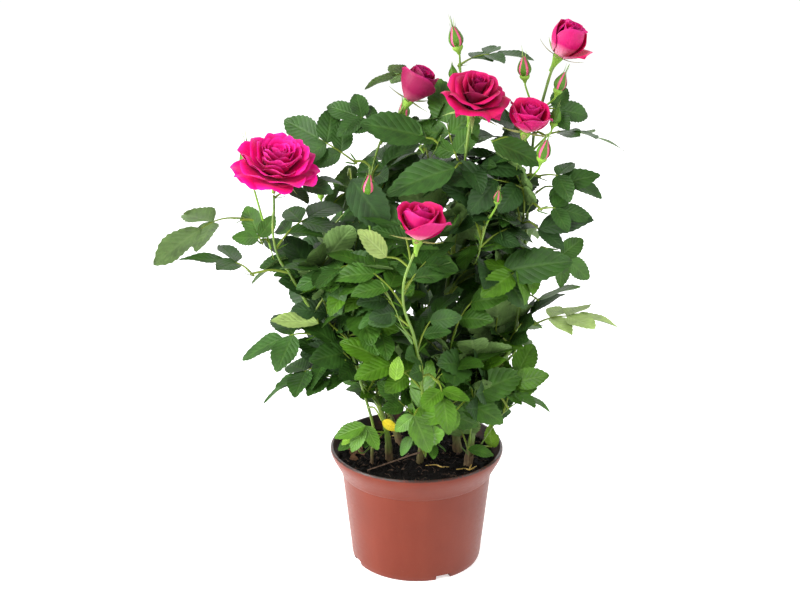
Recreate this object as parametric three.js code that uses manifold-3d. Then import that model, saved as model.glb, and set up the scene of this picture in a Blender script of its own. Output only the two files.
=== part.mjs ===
// A pot-grown miniature rose bush: a plastic nursery pot, its soil, the canes that rise from
// it, six roses and the masses of foliage round the canes.
// Millimetres, +Z up. The origin is the centre of the pot's flat underside.
import * as THREE from "three";
import { mergeVertices } from "three/addons/utils/BufferGeometryUtils.js";
import Module from "manifold-3d";

const wasm = await Module();
wasm.setup();

// Driving dimensions of the pot.
const POT_HEIGHT = 83;
const RIM_RADIUS = 60;
const RIM_BAND = 5;
const COLLAR_HEIGHT = 22;
const COLLAR_FOOT_RADIUS = 53;
const BODY_TOP_RADIUS = 52.1;
const BODY_FOOT_RADIUS = 46;
const FOOT_RADIUS = 44.3;
const FOOT_CURVE = 6;
const WALL = 1.4;
const POT_SIDES = 36;

// The underside stands on a centre pad and an outer ring, with a raised channel between them.
const PAD_RADIUS = 14;
const CHANNEL_OUTER_RADIUS = 37;
const CHANNEL_DEPTH = 3.5;
const NOTCH_COUNT = 4;
const NOTCH_WIDTH = 11;
const NOTCH_TURN = 0.42;
const DRAIN_HOLE_RADIUS = 3.5;

// Soil level, and the gap left between any two neighbouring pieces.
const SOIL_LEVEL = 75;
const SOIL_ROUGHNESS = 0.8;
const GAP = 0.35;

// Limbs: how finely they are faceted, how much the foot swells, and the shortest piece kept.
const LIMB_SIDES = 6;
const LIMB_STEP = 15;
const FOOT_SWELL = 1.45;
const SHORTEST_LIMB = 12;

const group = new THREE.Group();
const finish = (colour, roughness) =>
  new THREE.MeshStandardMaterial({ color: colour, roughness, metalness: 0 });
const materials = {
  pot: finish(0xa85c48, 0.45),
  soil: finish(0x1d1714, 0.95),
  cane: finish(0x5f7a2c, 0.55),
  foliage: finish(0x2f5d27, 0.5),
  rose: finish(0xd8106c, 0.6),
};

// ---- solids -------------------------------------------------------------------------------

// Positions and faces alone, so that corners which differ only in shading can be merged.
function bare(geometry) {
  for (const name of ["normal", "uv"]) {
    geometry.deleteAttribute(name);
  }
  return geometry;
}

// A closed geometry as a solid that can be cut.
function solid(geometry) {
  const merged = mergeVertices(bare(geometry.clone()), 1e-4);
  return new wasm.Manifold(
    new wasm.Mesh({
      numProp: 3,
      vertProperties: merged.attributes.position.array,
      triVerts: new Uint32Array(merged.index.array),
    }),
  );
}

function geometryOf(made) {
  const mesh = made.getMesh();
  const points = new Float32Array(mesh.numVert * 3);
  for (let i = 0; i < mesh.numVert; i++) {
    const from = i * mesh.numProp;
    points.set(mesh.vertProperties.subarray(from, from + 3), i * 3);
  }
  return new THREE.BufferGeometry()
    .setAttribute("position", new THREE.BufferAttribute(points, 3))
    .setIndex(new THREE.BufferAttribute(mesh.triVerts, 1));
}

function add(name, geometry, material) {
  const mesh = new THREE.Mesh(geometry, material);
  mesh.name = name;
  group.add(mesh);
}

const overlapping = (a, b) =>
  [0, 1, 2].every((k) => a.min[k] < b.max[k] && b.min[k] < a.max[k]);

// Everything placed so far, each grown by the gap, so that a later piece is cut clear of it.
const placed = [];

// What is left of a solid, largest piece first, once all that is placed has been cut away.
function clear(made) {
  for (const other of placed) {
    if (overlapping(other.boundingBox(), made.boundingBox())) {
      made = made.subtract(other);
    }
  }
  return made.decompose().sort((a, b) => b.volume() - a.volume());
}

// Adds shape(0), cut back from what is there, and keeps shape(GAP) clear from then on.
function place(name, shape, material) {
  add(name, geometryOf(clear(solid(shape(0)))[0]), material);
  placed.push(solid(shape(GAP)));
}

// ---- the pot and its soil -----------------------------------------------------------------

const collarFoot = POT_HEIGHT - COLLAR_HEIGHT;

// Height to outer radius, from the edge of the rim down to the curve at the foot.
const wallProfile = [
  [POT_HEIGHT, RIM_RADIUS - 0.5],
  [POT_HEIGHT - 1, RIM_RADIUS],
  [POT_HEIGHT - RIM_BAND, RIM_RADIUS - 0.4],
  [collarFoot + COLLAR_HEIGHT * 0.4, COLLAR_FOOT_RADIUS + 3],
  [collarFoot + 1, COLLAR_FOOT_RADIUS],
  [collarFoot, BODY_TOP_RADIUS],
  [FOOT_CURVE, BODY_FOOT_RADIUS],
  [FOOT_CURVE / 4, BODY_FOOT_RADIUS - 0.8],
];

const turned = (pairs, sides) =>
  new THREE.LatheGeometry(pairs.map(([r, z]) => new THREE.Vector2(r, z)), sides)
    .rotateX(Math.PI / 2);

function potShell() {
  const underside = [
    [0, 0],
    [PAD_RADIUS, 0],
    [PAD_RADIUS + 1, CHANNEL_DEPTH],
    [CHANNEL_OUTER_RADIUS, CHANNEL_DEPTH],
    [CHANNEL_OUTER_RADIUS + 1, 0],
    [FOOT_RADIUS, 0],
  ];
  const outside = wallProfile.map(([z, r]) => [r, z]).reverse();
  const inside = wallProfile
    .filter(([z]) => z === POT_HEIGHT || (z < POT_HEIGHT - RIM_BAND && z >= FOOT_CURVE))
    .map(([z, r]) => [r - WALL, z]);
  const floor = [
    [FOOT_RADIUS - WALL, WALL],
    [CHANNEL_OUTER_RADIUS + 2, WALL],
    [CHANNEL_OUTER_RADIUS + 1, CHANNEL_DEPTH + WALL],
    [PAD_RADIUS, CHANNEL_DEPTH + WALL],
    [PAD_RADIUS - 1, WALL],
    [0, WALL],
  ];
  return solid(turned([...underside, ...outside, ...inside, ...floor], POT_SIDES));
}

// A notch through the foot ring with a drain hole behind it, cut at one angle.
function drain(turn) {
  const ringWidth = BODY_FOOT_RADIUS - CHANNEL_OUTER_RADIUS + 4;
  const notch = new THREE.BoxGeometry(ringWidth, NOTCH_WIDTH, CHANNEL_DEPTH * 2)
    .translate(CHANNEL_OUTER_RADIUS + ringWidth / 2 - 1, 0, 0)
    .rotateZ(turn);
  const hole = new THREE.CylinderGeometry(DRAIN_HOLE_RADIUS, DRAIN_HOLE_RADIUS, 20, 12)
    .rotateX(Math.PI / 2)
    .translate((PAD_RADIUS + CHANNEL_OUTER_RADIUS) / 2 + 1, 0, 0)
    .rotateZ(turn);
  return solid(notch).add(solid(hole));
}

function pot() {
  let shell = potShell();
  for (let i = 0; i < NOTCH_COUNT; i++) {
    const turn = -Math.PI / 2 + NOTCH_TURN + (i * 2 * Math.PI) / NOTCH_COUNT;
    shell = shell.subtract(drain(turn));
  }
  add("pot", geometryOf(shell), materials.pot);
}

function soil() {
  const top = SOIL_LEVEL - GAP - SOIL_ROUGHNESS;
  const floor = CHANNEL_DEPTH + WALL + GAP;
  const clearance = WALL + 2 * GAP;
  const profile = [
    [0, floor],
    [BODY_FOOT_RADIUS - clearance - 0.6, floor],
    [BODY_FOOT_RADIUS - clearance, FOOT_CURVE + 1],
    [BODY_TOP_RADIUS - clearance, collarFoot - 1],
    [COLLAR_FOOT_RADIUS + 2.8 - clearance, top - 4],
    [COLLAR_FOOT_RADIUS + 3 - clearance, top],
    [38, top],
    [20, top],
    [0, top],
  ];
  const made = turned(profile, POT_SIDES / 2);
  const at = made.attributes.position;
  for (let i = 0; i < at.count; i++) {
    const [x, y, z] = [at.getX(i), at.getY(i), at.getZ(i)];
    if (z > SOIL_LEVEL - 2) {
      at.setZ(i, z + SOIL_ROUGHNESS * Math.sin(x / 5) * Math.cos(y / 6));
    }
  }
  add("soil", geometryOf(solid(made)), materials.soil);
}

// ---- canes and stems ----------------------------------------------------------------------

// A limb: a tapered cylinder bent along a smooth curve. Its foot is swollen and ends level.
function limb(points, footRadius, tipRadius) {
  const curve = new THREE.CatmullRomCurve3(
    points.map((p) => new THREE.Vector3(...p)),
    false,
    "centripetal",
  );
  const steps = Math.max(3, Math.round(curve.getLength() / LIMB_STEP));
  const frames = curve.computeFrenetFrames(steps, false);
  const tube = new THREE.CylinderGeometry(tipRadius, footRadius, 1, LIMB_SIDES, steps);
  const at = tube.attributes.position;
  for (let i = 0; i < at.count; i++) {
    const step = Math.round((at.getY(i) + 0.5) * steps);
    const swell = step === 0 ? FOOT_SWELL : 1;
    const point = curve
      .getPointAt(step / steps)
      .addScaledVector(frames.normals[step], at.getX(i) * swell)
      .addScaledVector(frames.binormals[step], -at.getZ(i) * swell);
    at.setXYZ(i, point.x, point.y, step === 0 ? points[0][2] : point.z);
  }
  return solid(tube);
}

// Each limb runs from the soil to its rose. The masses hide part of its way, so it shows as the
// pieces named here, lowest first.
const limbs = [
  {
    pieces: ["cane_left", "cane_left_upper", "stem_rose_left"],
    path: [[-19, -7, SOIL_LEVEL], [-20, -8, 92], [-24, -10, 112], [-38, -13, 138],
      [-64, -18, 170], [-78, -22, 207], [-94, -24, 232], [-95, -24, 252], [-91, -24, 270]],
    foot: 3.4,
    tip: 1.5,
  },
  {
    pieces: ["cane_front"],
    path: [[2, -12, SOIL_LEVEL], [3, -17, 92], [4, -26, 112], [2, -48, 150], [-3, -58, 184],
      [-11, -62, 212], [-5, -64, 234], [-1, -64, 245]],
    foot: 2.9,
    tip: 1.4,
  },
  {
    pieces: ["cane_middle", "cane_middle_upper", "stem_rose_top"],
    path: [[29, 7, SOIL_LEVEL], [27, 8, 92], [23, 11, 115], [20, 12, 140], [19, 10, 178],
      [22, 4, 212], [25, -4, 246], [29, -12, 280], [33, -16, 315]],
    foot: 3.8,
    tip: 1.7,
  },
  {
    pieces: ["cane_right", "stem_rose_peak"],
    path: [[35, -16, SOIL_LEVEL], [37, -15, 92], [42, -14, 116], [49, -10, 150], [58, -6, 198],
      [62, -3, 238], [68, 0, 272], [78, 3, 312], [83, 5, 334], [88, 6, 347]],
    foot: 3.6,
    tip: 1.6,
  },
  {
    pieces: ["cane_back_left", "stem_rose_upper_left"],
    path: [[-12, 20, SOIL_LEVEL], [-17, 21, 92], [-27, 22, 114], [-41, 18, 152],
      [-45, 14, 205], [-36, 8, 250], [-29, 3, 284], [-19, 3, 306], [-8, 5, 319]],
    foot: 3.2,
    tip: 1.6,
  },
  {
    pieces: ["cane_back"],
    path: [[32, 34, SOIL_LEVEL], [30, 36, 92], [26, 41, 114], [16, 48, 150]],
    foot: 3.2,
    tip: 2.4,
  },
];

// Places a limb's pieces where nothing else stands. A limb yields to every mass and rose.
function placeLimb({ pieces, path, foot, tip }) {
  const height = (piece) => piece.boundingBox().max[2] - piece.boundingBox().min[2];
  const kept = clear(limb(path, foot, tip))
    .filter((piece) => height(piece) > SHORTEST_LIMB)
    .sort((a, b) => a.boundingBox().min[2] - b.boundingBox().min[2]);
  if (kept.length !== pieces.length) {
    throw new Error(`${pieces[0]} comes in ${kept.length} pieces`);
  }
  kept.forEach((piece, i) => add(pieces[i], geometryOf(piece), materials.cane));
}

// ---- roses --------------------------------------------------------------------------------

// A rose's outer shape, turned about its stalk: shares of its radius and of its height.
const cup = [[0, 0], [0.34, 0.03], [0.74, 0.24], [0.95, 0.55], [1, 0.8], [0.62, 1], [0, 0.94]];
const rosette = [[0, 0], [0.2, 0.02], [0.66, 0.3], [1, 0.56], [0.96, 0.76], [0.55, 1], [0, 0.94]];
const PETAL_LOBES = 5;
const ROSE_SIDES = 15;

const roses = {
  rose_left: { foot: [-89, -24, 273], axis: [0.06, -0.42, 0.9], radius: 28, height: 24, profile: rosette },
  rose_front: { foot: [-1, -64, 246], axis: [0.1, -0.1, 0.98], radius: 16, height: 24, profile: cup },
  rose_top: { foot: [33, -17, 316], axis: [0.12, -0.34, 0.92], radius: 20.5, height: 29, profile: cup },
  rose_peak: { foot: [89, 6, 348], axis: [0.3, -0.1, 0.93], radius: 11.5, height: 25, profile: cup },
  rose_upper_left: { foot: [-8, 5, 320], axis: [0.42, -0.1, 0.9], radius: 11.5, height: 26, profile: cup },
  rose_right: { foot: [66, -22, 304], axis: [0.16, -0.3, 0.93], radius: 15, height: 23, profile: cup },
};

function roseShape({ foot, axis, radius, height, profile }) {
  const direction = new THREE.Vector3(...axis).normalize();
  const turn = new THREE.Quaternion()
    .setFromUnitVectors(new THREE.Vector3(0, 0, 1), direction);
  return (grow) => {
    const share = (r) => (r === 0 ? 0 : r * radius + grow);
    const pairs = profile.map(([r, h]) => [share(r), h * (height + 2 * grow) - grow]);
    const made = turned(pairs, ROSE_SIDES);
    const at = made.attributes.position;
    for (let i = 0; i < at.count; i++) {
      const around = Math.atan2(at.getY(i), at.getX(i));
      const lobed = 1 + 0.07 * Math.sin(PETAL_LOBES * around + at.getZ(i) / 6);
      at.setXYZ(i, at.getX(i) * lobed, at.getY(i) * lobed, at.getZ(i));
    }
    return made
      .applyQuaternion(turn)
      .translate(...new THREE.Vector3(...foot).addScaledVector(direction, 2 * GAP).toArray());
  };
}

// ---- foliage ------------------------------------------------------------------------------

// An uneven solid: a sphere pushed in and out by a few waves whose phases come from its seed.
function clumpShape([centre, radii], seed) {
  return (grow) => {
    const ball = mergeVertices(bare(new THREE.IcosahedronGeometry(1, 2)), 1e-4);
    const at = ball.attributes.position;
    const way = new THREE.Vector3();
    for (let i = 0; i < at.count; i++) {
      way.fromBufferAttribute(at, i).normalize();
      const uneven = 1
        + 0.12 * Math.sin(3.1 * way.x + 2.3 * way.y + seed * 1.7)
        + 0.1 * Math.sin(4.7 * way.z - 3.9 * way.x + seed * 2.9)
        + 0.08 * Math.sin(6.3 * way.y + 5.1 * way.z + seed * 4.3);
      at.setXYZ(
        i,
        centre[0] + way.x * (radii[0] * uneven + grow),
        centre[1] + way.y * (radii[1] * uneven + grow),
        centre[2] + way.z * (radii[2] * uneven + grow),
      );
    }
    return ball;
  };
}

// A spray's width along its length, as shares: two pairs of leaflets, then the end leaflet.
const sprayStations = [
  [0, 0.14], [0.17, 0.9], [0.34, 0.66], [0.49, 1], [0.65, 0.62], [0.82, 0.7], [1, 0.06],
];
const SPRAY_SIDES = 6;
const SPRAY_THICKNESS = 7;

// A thin arching pad from its foot to its tip: one compound leaf, or a few that overlap.
function sprayShape([foot, tip, width, arch, roll]) {
  const from = new THREE.Vector3(...foot);
  const to = new THREE.Vector3(...tip);
  const along = to.clone().sub(from).normalize();
  const side = new THREE.Vector3(0, 0, 1).cross(along).normalize().applyAxisAngle(along, roll);
  const up = along.clone().cross(side);
  const rings = sprayStations.length - 1;
  return (grow) => {
    const pad = new THREE.CylinderGeometry(1, 1, 1, SPRAY_SIDES, rings);
    const at = pad.attributes.position;
    for (let i = 0; i < at.count; i++) {
      const ring = Math.round((at.getY(i) + 0.5) * rings);
      const [share, wide] = sprayStations[ring];
      const thick = (SPRAY_THICKNESS / 2) * Math.sqrt(wide);
      const ends = ring === 0 ? -grow : ring === rings ? grow : 0;
      const point = from.clone().lerp(to, share)
        .addScaledVector(along, ends)
        .addScaledVector(side, at.getZ(i) * ((width / 2) * wide + grow))
        .addScaledVector(up, at.getX(i) * (thick + grow) + 4 * arch * share * (1 - share));
      at.setXYZ(i, point.x, point.y, point.z);
    }
    return pad;
  };
}

// Single leaves and small sprays that stand out past the masses: foot, tip, width, arch, roll.
const sprays = {
  spray_far_left: [[-112, -12, 242], [-178, -14, 224], 30, 12, 0.7],
  spray_left: [[-106, -30, 214], [-150, -34, 239], 24, 1, 0.6],
  spray_rose_stem: [[-100, -14, 232], [-112, -12, 260], 22, 1, -1.2],
  spray_left_top: [[-40, 8, 280], [-90, 16, 311], 38, 2, -1.1],
  spray_upper_left: [[-24, 8, 301], [-60, 14, 322], 22, 1, -0.8],
  spray_top_left: [[2, 12, 334], [-37, 14, 336], 16, 3, 0.4],
  spray_top: [[26, 18, 341], [76, 20, 354], 22, 3, 0.4],
  spray_shoulder: [[80, -6, 318], [112, -10, 319], 32, 1, 1],
  spray_right_upper: [[80, -2, 299], [136, 0, 300], 20, 2, 0.2],
  spray_right: [[76, -14, 276], [122, -20, 272], 34, 2, 0.8],
  spray_right_middle: [[76, -24, 256], [114, -28, 257], 26, 2, 0.6],
  spray_right_hanging: [[84, -8, 226], [118, -12, 208], 32, 3, 0.9],
  spray_right_low: [[78, -8, 172], [136, -8, 181], 26, 4, 0.5],
  spray_low_right: [[52, -24, 128], [92, -26, 126], 20, 2, 0.3],
  spray_low_left: [[-66, -24, 171], [-122, -26, 164], 38, 2, 0.7],
  spray_bottom_left: [[-50, -20, 149], [-108, -26, 132], 42, 2, 0.5],
  spray_front: [[12, -54, 150], [20, -92, 134], 34, 5, 0],
  spray_back_left: [[-66, 80, 214], [-98, 112, 200], 36, 5, 0],
  spray_back_right: [[66, 84, 214], [94, 120, 204], 36, 5, 0],
  spray_back_top: [[2, 72, 276], [-10, 112, 284], 36, 4, 0],
};

// The masses of foliage round the canes: centre and radii.
const clumps = {
  foliage_left: [[-93, -10, 222], [27, 28, 24]],
  foliage_left_inner: [[-57, -4, 226], [21, 34, 24]],
  foliage_left_flank: [[-60, -14, 183], [24, 30, 19]],
  foliage_heart_left: [[-21, -34, 208], [27, 29, 38]],
  foliage_shoulder_left: [[-37, -4, 264], [19, 27, 22]],
  foliage_upper_middle: [[9, -4, 288], [29, 30, 22]],
  foliage_upper_right: [[56, -6, 288], [27, 28, 23]],
  foliage_crown: [[20, 16, 328], [22, 20, 19]],
  foliage_heart_right: [[36, -26, 228], [27, 32, 36]],
  foliage_right_upper: [[68, -6, 252], [18, 24, 26]],
  foliage_right_flank: [[70, -2, 206], [24, 32, 24]],
  foliage_right_low: [[62, -8, 158], [22, 28, 27]],
  foliage_heart_low: [[20, -26, 163], [34, 33, 29]],
  foliage_skirt_left: [[-36, -16, 141], [22, 22, 10]],
  foliage_soil_left: [[-36, -28, 96], [19, 17, 10]],
  foliage_soil_front: [[5, -42, 100], [22, 15, 13]],
  foliage_back_left: [[-58, 56, 205], [34, 32, 34]],
  foliage_back_right: [[48, 60, 208], [36, 32, 36]],
  foliage_back_top: [[6, 48, 272], [38, 28, 28]],
  foliage_back_low: [[0, 52, 143], [42, 32, 28]],
};

function foliage() {
  for (const [name, spray] of Object.entries(sprays)) {
    place(name, sprayShape(spray), materials.foliage);
  }
  Object.entries(clumps).forEach(([name, clump], seed) => {
    place(name, clumpShape(clump, seed), materials.foliage);
  });
}

pot();
soil();
for (const [name, rose] of Object.entries(roses)) {
  place(name, roseShape(rose), materials.rose);
}
foliage();
limbs.forEach(placeLimb);

export default group;
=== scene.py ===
import math
import random

import bmesh
import bpy
import numpy as np
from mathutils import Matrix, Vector, noise
from mathutils.bvhtree import BVHTree


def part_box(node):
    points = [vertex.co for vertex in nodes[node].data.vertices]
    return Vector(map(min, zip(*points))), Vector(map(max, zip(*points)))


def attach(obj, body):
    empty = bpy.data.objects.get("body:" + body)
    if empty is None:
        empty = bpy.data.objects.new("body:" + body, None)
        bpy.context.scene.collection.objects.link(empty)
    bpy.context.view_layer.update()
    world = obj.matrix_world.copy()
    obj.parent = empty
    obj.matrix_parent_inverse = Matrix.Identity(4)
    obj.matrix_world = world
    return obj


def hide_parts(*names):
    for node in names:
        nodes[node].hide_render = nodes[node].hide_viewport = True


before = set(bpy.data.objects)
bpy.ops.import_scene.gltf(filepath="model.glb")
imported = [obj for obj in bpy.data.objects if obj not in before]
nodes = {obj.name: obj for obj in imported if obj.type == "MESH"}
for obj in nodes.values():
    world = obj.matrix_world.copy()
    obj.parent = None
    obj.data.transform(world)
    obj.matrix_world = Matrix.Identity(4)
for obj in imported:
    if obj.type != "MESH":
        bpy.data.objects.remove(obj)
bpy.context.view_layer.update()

# ---- the view and the light ------------------------------------------------------------
# A camera a little above the plant, looking down at it, on a pale floor under a white dome.
# One broad soft light stands front left, narrow ones left, right and in front, one behind.
AIM = Vector((-0.0116, 0.0, 0.1885))
DISTANCE = 0.8755
LOOK_DOWN = math.radians(18)

camera_data = bpy.data.cameras.new("camera")
camera_data.lens = 58.5
camera_data.sensor_width = 36
camera = bpy.data.objects.new("camera", camera_data)
bpy.context.scene.collection.objects.link(camera)
camera.location = AIM + DISTANCE * Vector((0, -math.cos(LOOK_DOWN), math.sin(LOOK_DOWN)))
camera.rotation_euler = (math.pi / 2 - LOOK_DOWN, 0, 0)
bpy.context.scene.camera = camera
bpy.context.scene.view_settings.view_transform = "Standard"


def soft_light(name, place, size, power):
    """A rectangular lamp that faces the middle of the plant."""
    lamp = bpy.data.lights.new(name, "AREA")
    lamp.shape = "RECTANGLE"
    lamp.size, lamp.size_y = size
    lamp.energy = power
    light = bpy.data.objects.new(name, lamp)
    bpy.context.scene.collection.objects.link(light)
    light.location = place
    light.rotation_euler = (Vector((0, 0, 0.2)) - Vector(place)).to_track_quat("-Z", "Y").to_euler()


soft_light("key_light", (-0.70, -0.95, 1.15), (0.5, 0.6), 17)
soft_light("side_light", (1.15, -0.35, 0.55), (0.35, 0.9), 6)
soft_light("left_strip", (-1.05, -0.35, 0.35), (0.20, 0.9), 21)
soft_light("front_strip", (0.62, -1.05, 0.35), (0.05, 0.9), 3)
soft_light("back_light", (0.3, 1.3, 1.0), (1.6, 1.2), 12)

world = bpy.data.worlds.new("white_dome")
bpy.context.scene.world = world
world.use_nodes = True
world.node_tree.nodes["Background"].inputs["Color"].default_value = (1, 1, 1, 1)
world.node_tree.nodes["Background"].inputs["Strength"].default_value = 0.58


class Nodes:
    """A tree of shader nodes in few words: each method adds a node and gives its output."""

    def __init__(self, tree):
        self.tree = tree

    def set(self, node, socket, value):
        if isinstance(value, bpy.types.NodeSocket):
            self.tree.links.new(value, node.inputs[socket])
        else:
            node.inputs[socket].default_value = value

    def node(self, kind, **inputs):
        made = self.tree.nodes.new(kind)
        for socket, value in inputs.items():
            self.set(made, socket.replace("_", " "), value)
        return made

    def place(self, scale=(1, 1, 1)):
        coordinates = self.node("ShaderNodeTexCoord")
        return self.node("ShaderNodeMapping", Vector=coordinates.outputs["Object"], Scale=scale).outputs[0]

    def noise(self, vector, scale, detail=3, roughness=0.55):
        made = self.node("ShaderNodeTexNoise", Vector=vector, Scale=scale, Detail=detail)
        made.inputs["Roughness"].default_value = roughness
        return made.outputs["Fac"]

    def ramp(self, value, *stops):
        made = self.node("ShaderNodeValToRGB", Fac=value)
        elements = made.color_ramp.elements
        while len(elements) < len(stops):
            elements.new(0.5)
        for element, (position, colour) in zip(elements, stops):
            element.position = position
            element.color = (*colour, 1) if len(colour) == 3 else (colour[0],) * 3 + (1,)
        return made.outputs["Color"]

    def math(self, kind, a, b=0.0, clamp=False):
        made = self.tree.nodes.new("ShaderNodeMath")
        made.operation = kind
        made.use_clamp = clamp
        self.set(made, 0, a)
        self.set(made, 1, b)
        return made.outputs[0]

    def blend(self, share, a, b):
        made = self.tree.nodes.new("ShaderNodeMix")
        made.data_type = "RGBA"
        for index, value in ((0, share), (6, a), (7, b)):
            if isinstance(value, tuple) and len(value) == 3:
                value = (*value, 1)
            self.set(made, index, value)
        return made.outputs[2]


class Paint(Nodes):
    """A material with its Principled shader."""

    def __init__(self, name, colour, roughness, **sockets):
        self.material = bpy.data.materials.new(name)
        self.material.use_nodes = True
        super().__init__(self.material.node_tree)
        self.shader = self.tree.nodes["Principled BSDF"]
        for socket, value in {"Base_Color": (*colour, 1), "Roughness": roughness, **sockets}.items():
            self.cover(socket, value)

    def cover(self, socket, value):
        self.set(self.shader, socket.replace("_", " "), value)

    def mottle(self, scale, detail, *stops, stretch=(1, 1, 1)):
        """Base colour from one noise, which it gives back."""
        grain = self.noise(self.place(stretch), scale, detail)
        self.cover("Base_Color", self.ramp(grain, *stops))
        return grain

    def bump(self, height, strength, distance):
        made = self.node("ShaderNodeBump", Height=height, Strength=strength, Distance=distance)
        self.cover("Normal", made.outputs["Normal"])


def pick(piece=None):
    """Selects one object, or none, and makes it the active one."""
    bpy.ops.object.select_all(action="DESELECT")
    if piece is not None:
        piece.select_set(True)
        bpy.context.view_layer.objects.active = piece


floor_paint = Paint("pale_floor", (0.9, 0.9, 0.9), 0.9, Emission_Color=(1, 1, 1, 1), Emission_Strength=0.5)
floor_paint.mottle(3, 3, (0, (0.9,)), (1, (0.93,)))
pick()
bpy.ops.mesh.primitive_plane_add(size=80, location=(0, 0, 0))
floor = bpy.context.object
floor.name = "floor"
floor.data.materials.append(floor_paint.material)

# ---- the pot -----------------------------------------------------------------------------
# A thin nursery pot moulded in terracotta-coloured plastic, satin, scuffed by use. The rim
# flares out over a collar, and the foot ring has notches that drain the channel under it.
pot_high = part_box("pot")[1]
RIM = pot_high.x
TALL = pot_high.z
WALL = 0.0014
FOOT = 0.0443
CHANNEL = 0.0035
COLLAR_FOOT = TALL - 0.018

pot_outside = [
    (0.0448, 0.0004),
    (0.0453, 0.0015),
    (0.0459, 0.005),
    (0.0462, 0.009),
    (0.0520, COLLAR_FOOT - 0.0012),
    (0.0521, COLLAR_FOOT - 0.0003),
    (0.0527, COLLAR_FOOT + 0.0003),
    (0.0531, COLLAR_FOOT + 0.0015),
    (0.0543, COLLAR_FOOT + 0.0040),
    (0.0562, COLLAR_FOOT + 0.0075),
    (0.0580, COLLAR_FOOT + 0.0107),
    (0.0592, COLLAR_FOOT + 0.0131),
    (0.0597, TALL - 0.0034),
    (RIM, TALL - 0.0024),
    (RIM, TALL - 0.0008),
    (RIM - 0.0005, TALL),
]
pot_inside = [
    (RIM - 0.0017, TALL),
    (RIM - 0.0022, TALL - 0.0008),
    (0.0574, TALL - 0.007),
    (0.0547, COLLAR_FOOT + 0.0075),
    (0.0515, COLLAR_FOOT + 0.001),
    (0.0505, COLLAR_FOOT - 0.001),
    (0.0446, 0.008),
    (0.0440, CHANNEL + WALL),
]
pot_underside = [(0.0380, 0.0), (0.0370, CHANNEL), (0.0150, CHANNEL), (0.0140, 0.0)]


def grow_rings(profile):
    """Extrudes the selected foot ring of edges along a profile, and closes the last ring."""
    radius, height = FOOT, 0.0
    for next_radius, next_height in profile:
        bpy.ops.mesh.extrude_region_move(TRANSFORM_OT_translate={"value": (0, 0, next_height - height)})
        share = next_radius / radius
        bpy.ops.transform.resize(value=(share, share, 1))
        radius, height = next_radius, next_height
    bpy.ops.mesh.edge_face_add()


pick()
bpy.ops.mesh.primitive_circle_add(vertices=160, radius=FOOT, fill_type="NOTHING", location=(0, 0, 0))
pot = bpy.context.object
pot.name = "nursery_pot"
bpy.ops.object.mode_set(mode="EDIT")
bpy.ops.mesh.select_mode(type="EDGE")
bpy.ops.mesh.select_all(action="SELECT")
grow_rings(pot_outside + pot_inside)

# The underside grows from the same ring: a foot, a channel, and a centre pad level with the foot.
bpy.ops.mesh.select_all(action="DESELECT")
shell = bmesh.from_edit_mesh(pot.data)
for edge in shell.edges:
    edge.select_set(all(abs(v.co.z) < 1e-5 and abs(v.co.xy.length - FOOT) < 1e-5 for v in edge.verts))
bmesh.update_edit_mesh(pot.data)
grow_rings(pot_underside)
bpy.ops.mesh.select_all(action="SELECT")
bpy.ops.mesh.normals_make_consistent(inside=False)
bpy.ops.object.mode_set(mode="OBJECT")


def cut_with(piece, cutter):
    """Cuts one object out of another with a boolean, applies it, and deletes the cutter."""
    carve = piece.modifiers.new("carve", "BOOLEAN")
    carve.operation = "DIFFERENCE"
    carve.object = cutter
    pick(piece)
    bpy.ops.object.modifier_apply(modifier=carve.name)
    bpy.data.objects.remove(cutter)


NOTCH_DEEP, NOTCH_WIDE, NOTCH_AT = 0.014, 0.0112, 0.0425
DRAIN_RADIUS, DRAIN_AT = 0.0035, 0.0265
for quarter in range(4):
    turn = math.radians(-90 + 24 + 90 * quarter)
    way = Vector((math.cos(turn), math.sin(turn), 0))
    bpy.ops.mesh.primitive_cube_add(size=1, location=way * NOTCH_AT, rotation=(0, 0, turn))
    notch = bpy.context.object
    notch.scale = (NOTCH_DEEP, NOTCH_WIDE, 2 * CHANNEL)
    bpy.ops.object.transform_apply(location=False, rotation=False, scale=True)
    cut_with(pot, notch)
    bpy.ops.mesh.primitive_cylinder_add(
        vertices=24, radius=DRAIN_RADIUS, depth=0.03, location=way * DRAIN_AT,
    )
    cut_with(pot, bpy.context.object)

pick(pot)
bpy.ops.object.shade_smooth_by_angle(angle=math.radians(32))

# Satin plastic with long streaks, pale scuffs and specks of dirt, and a rim darkened partly by peat stain
# and partly by painted shade.
pot_paint = Paint("terracotta_plastic", (0.18, 0.036, 0.016), 0.34, Specular_IOR_Level=0.29)
where = pot_paint.place()
streaks = pot_paint.noise(pot_paint.place((1, 1, 0.16)), 90, 4)
clouds = pot_paint.noise(where, 26, 4)
scuffs = pot_paint.noise(pot_paint.place((1, 1, 3.5)), 240, 6, 0.7)
flecks = pot_paint.noise(where, 900, 2)
base = pot_paint.ramp(clouds, (0.3, (0.118, 0.0125, 0.0020)), (0.7, (0.140, 0.0165, 0.0035)))
base = pot_paint.blend(pot_paint.ramp(streaks, (0.45, (0,)), (0.8, (0.35,))), base, (0.168, 0.028, 0.010))
base = pot_paint.blend(pot_paint.ramp(scuffs, (0.62, (0,)), (0.78, (0.45,))), base, (0.235, 0.060, 0.034))
base = pot_paint.blend(pot_paint.ramp(flecks, (0.70, (0,)), (0.76, (0.5,))), base, (0.12, 0.045, 0.03))
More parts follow.
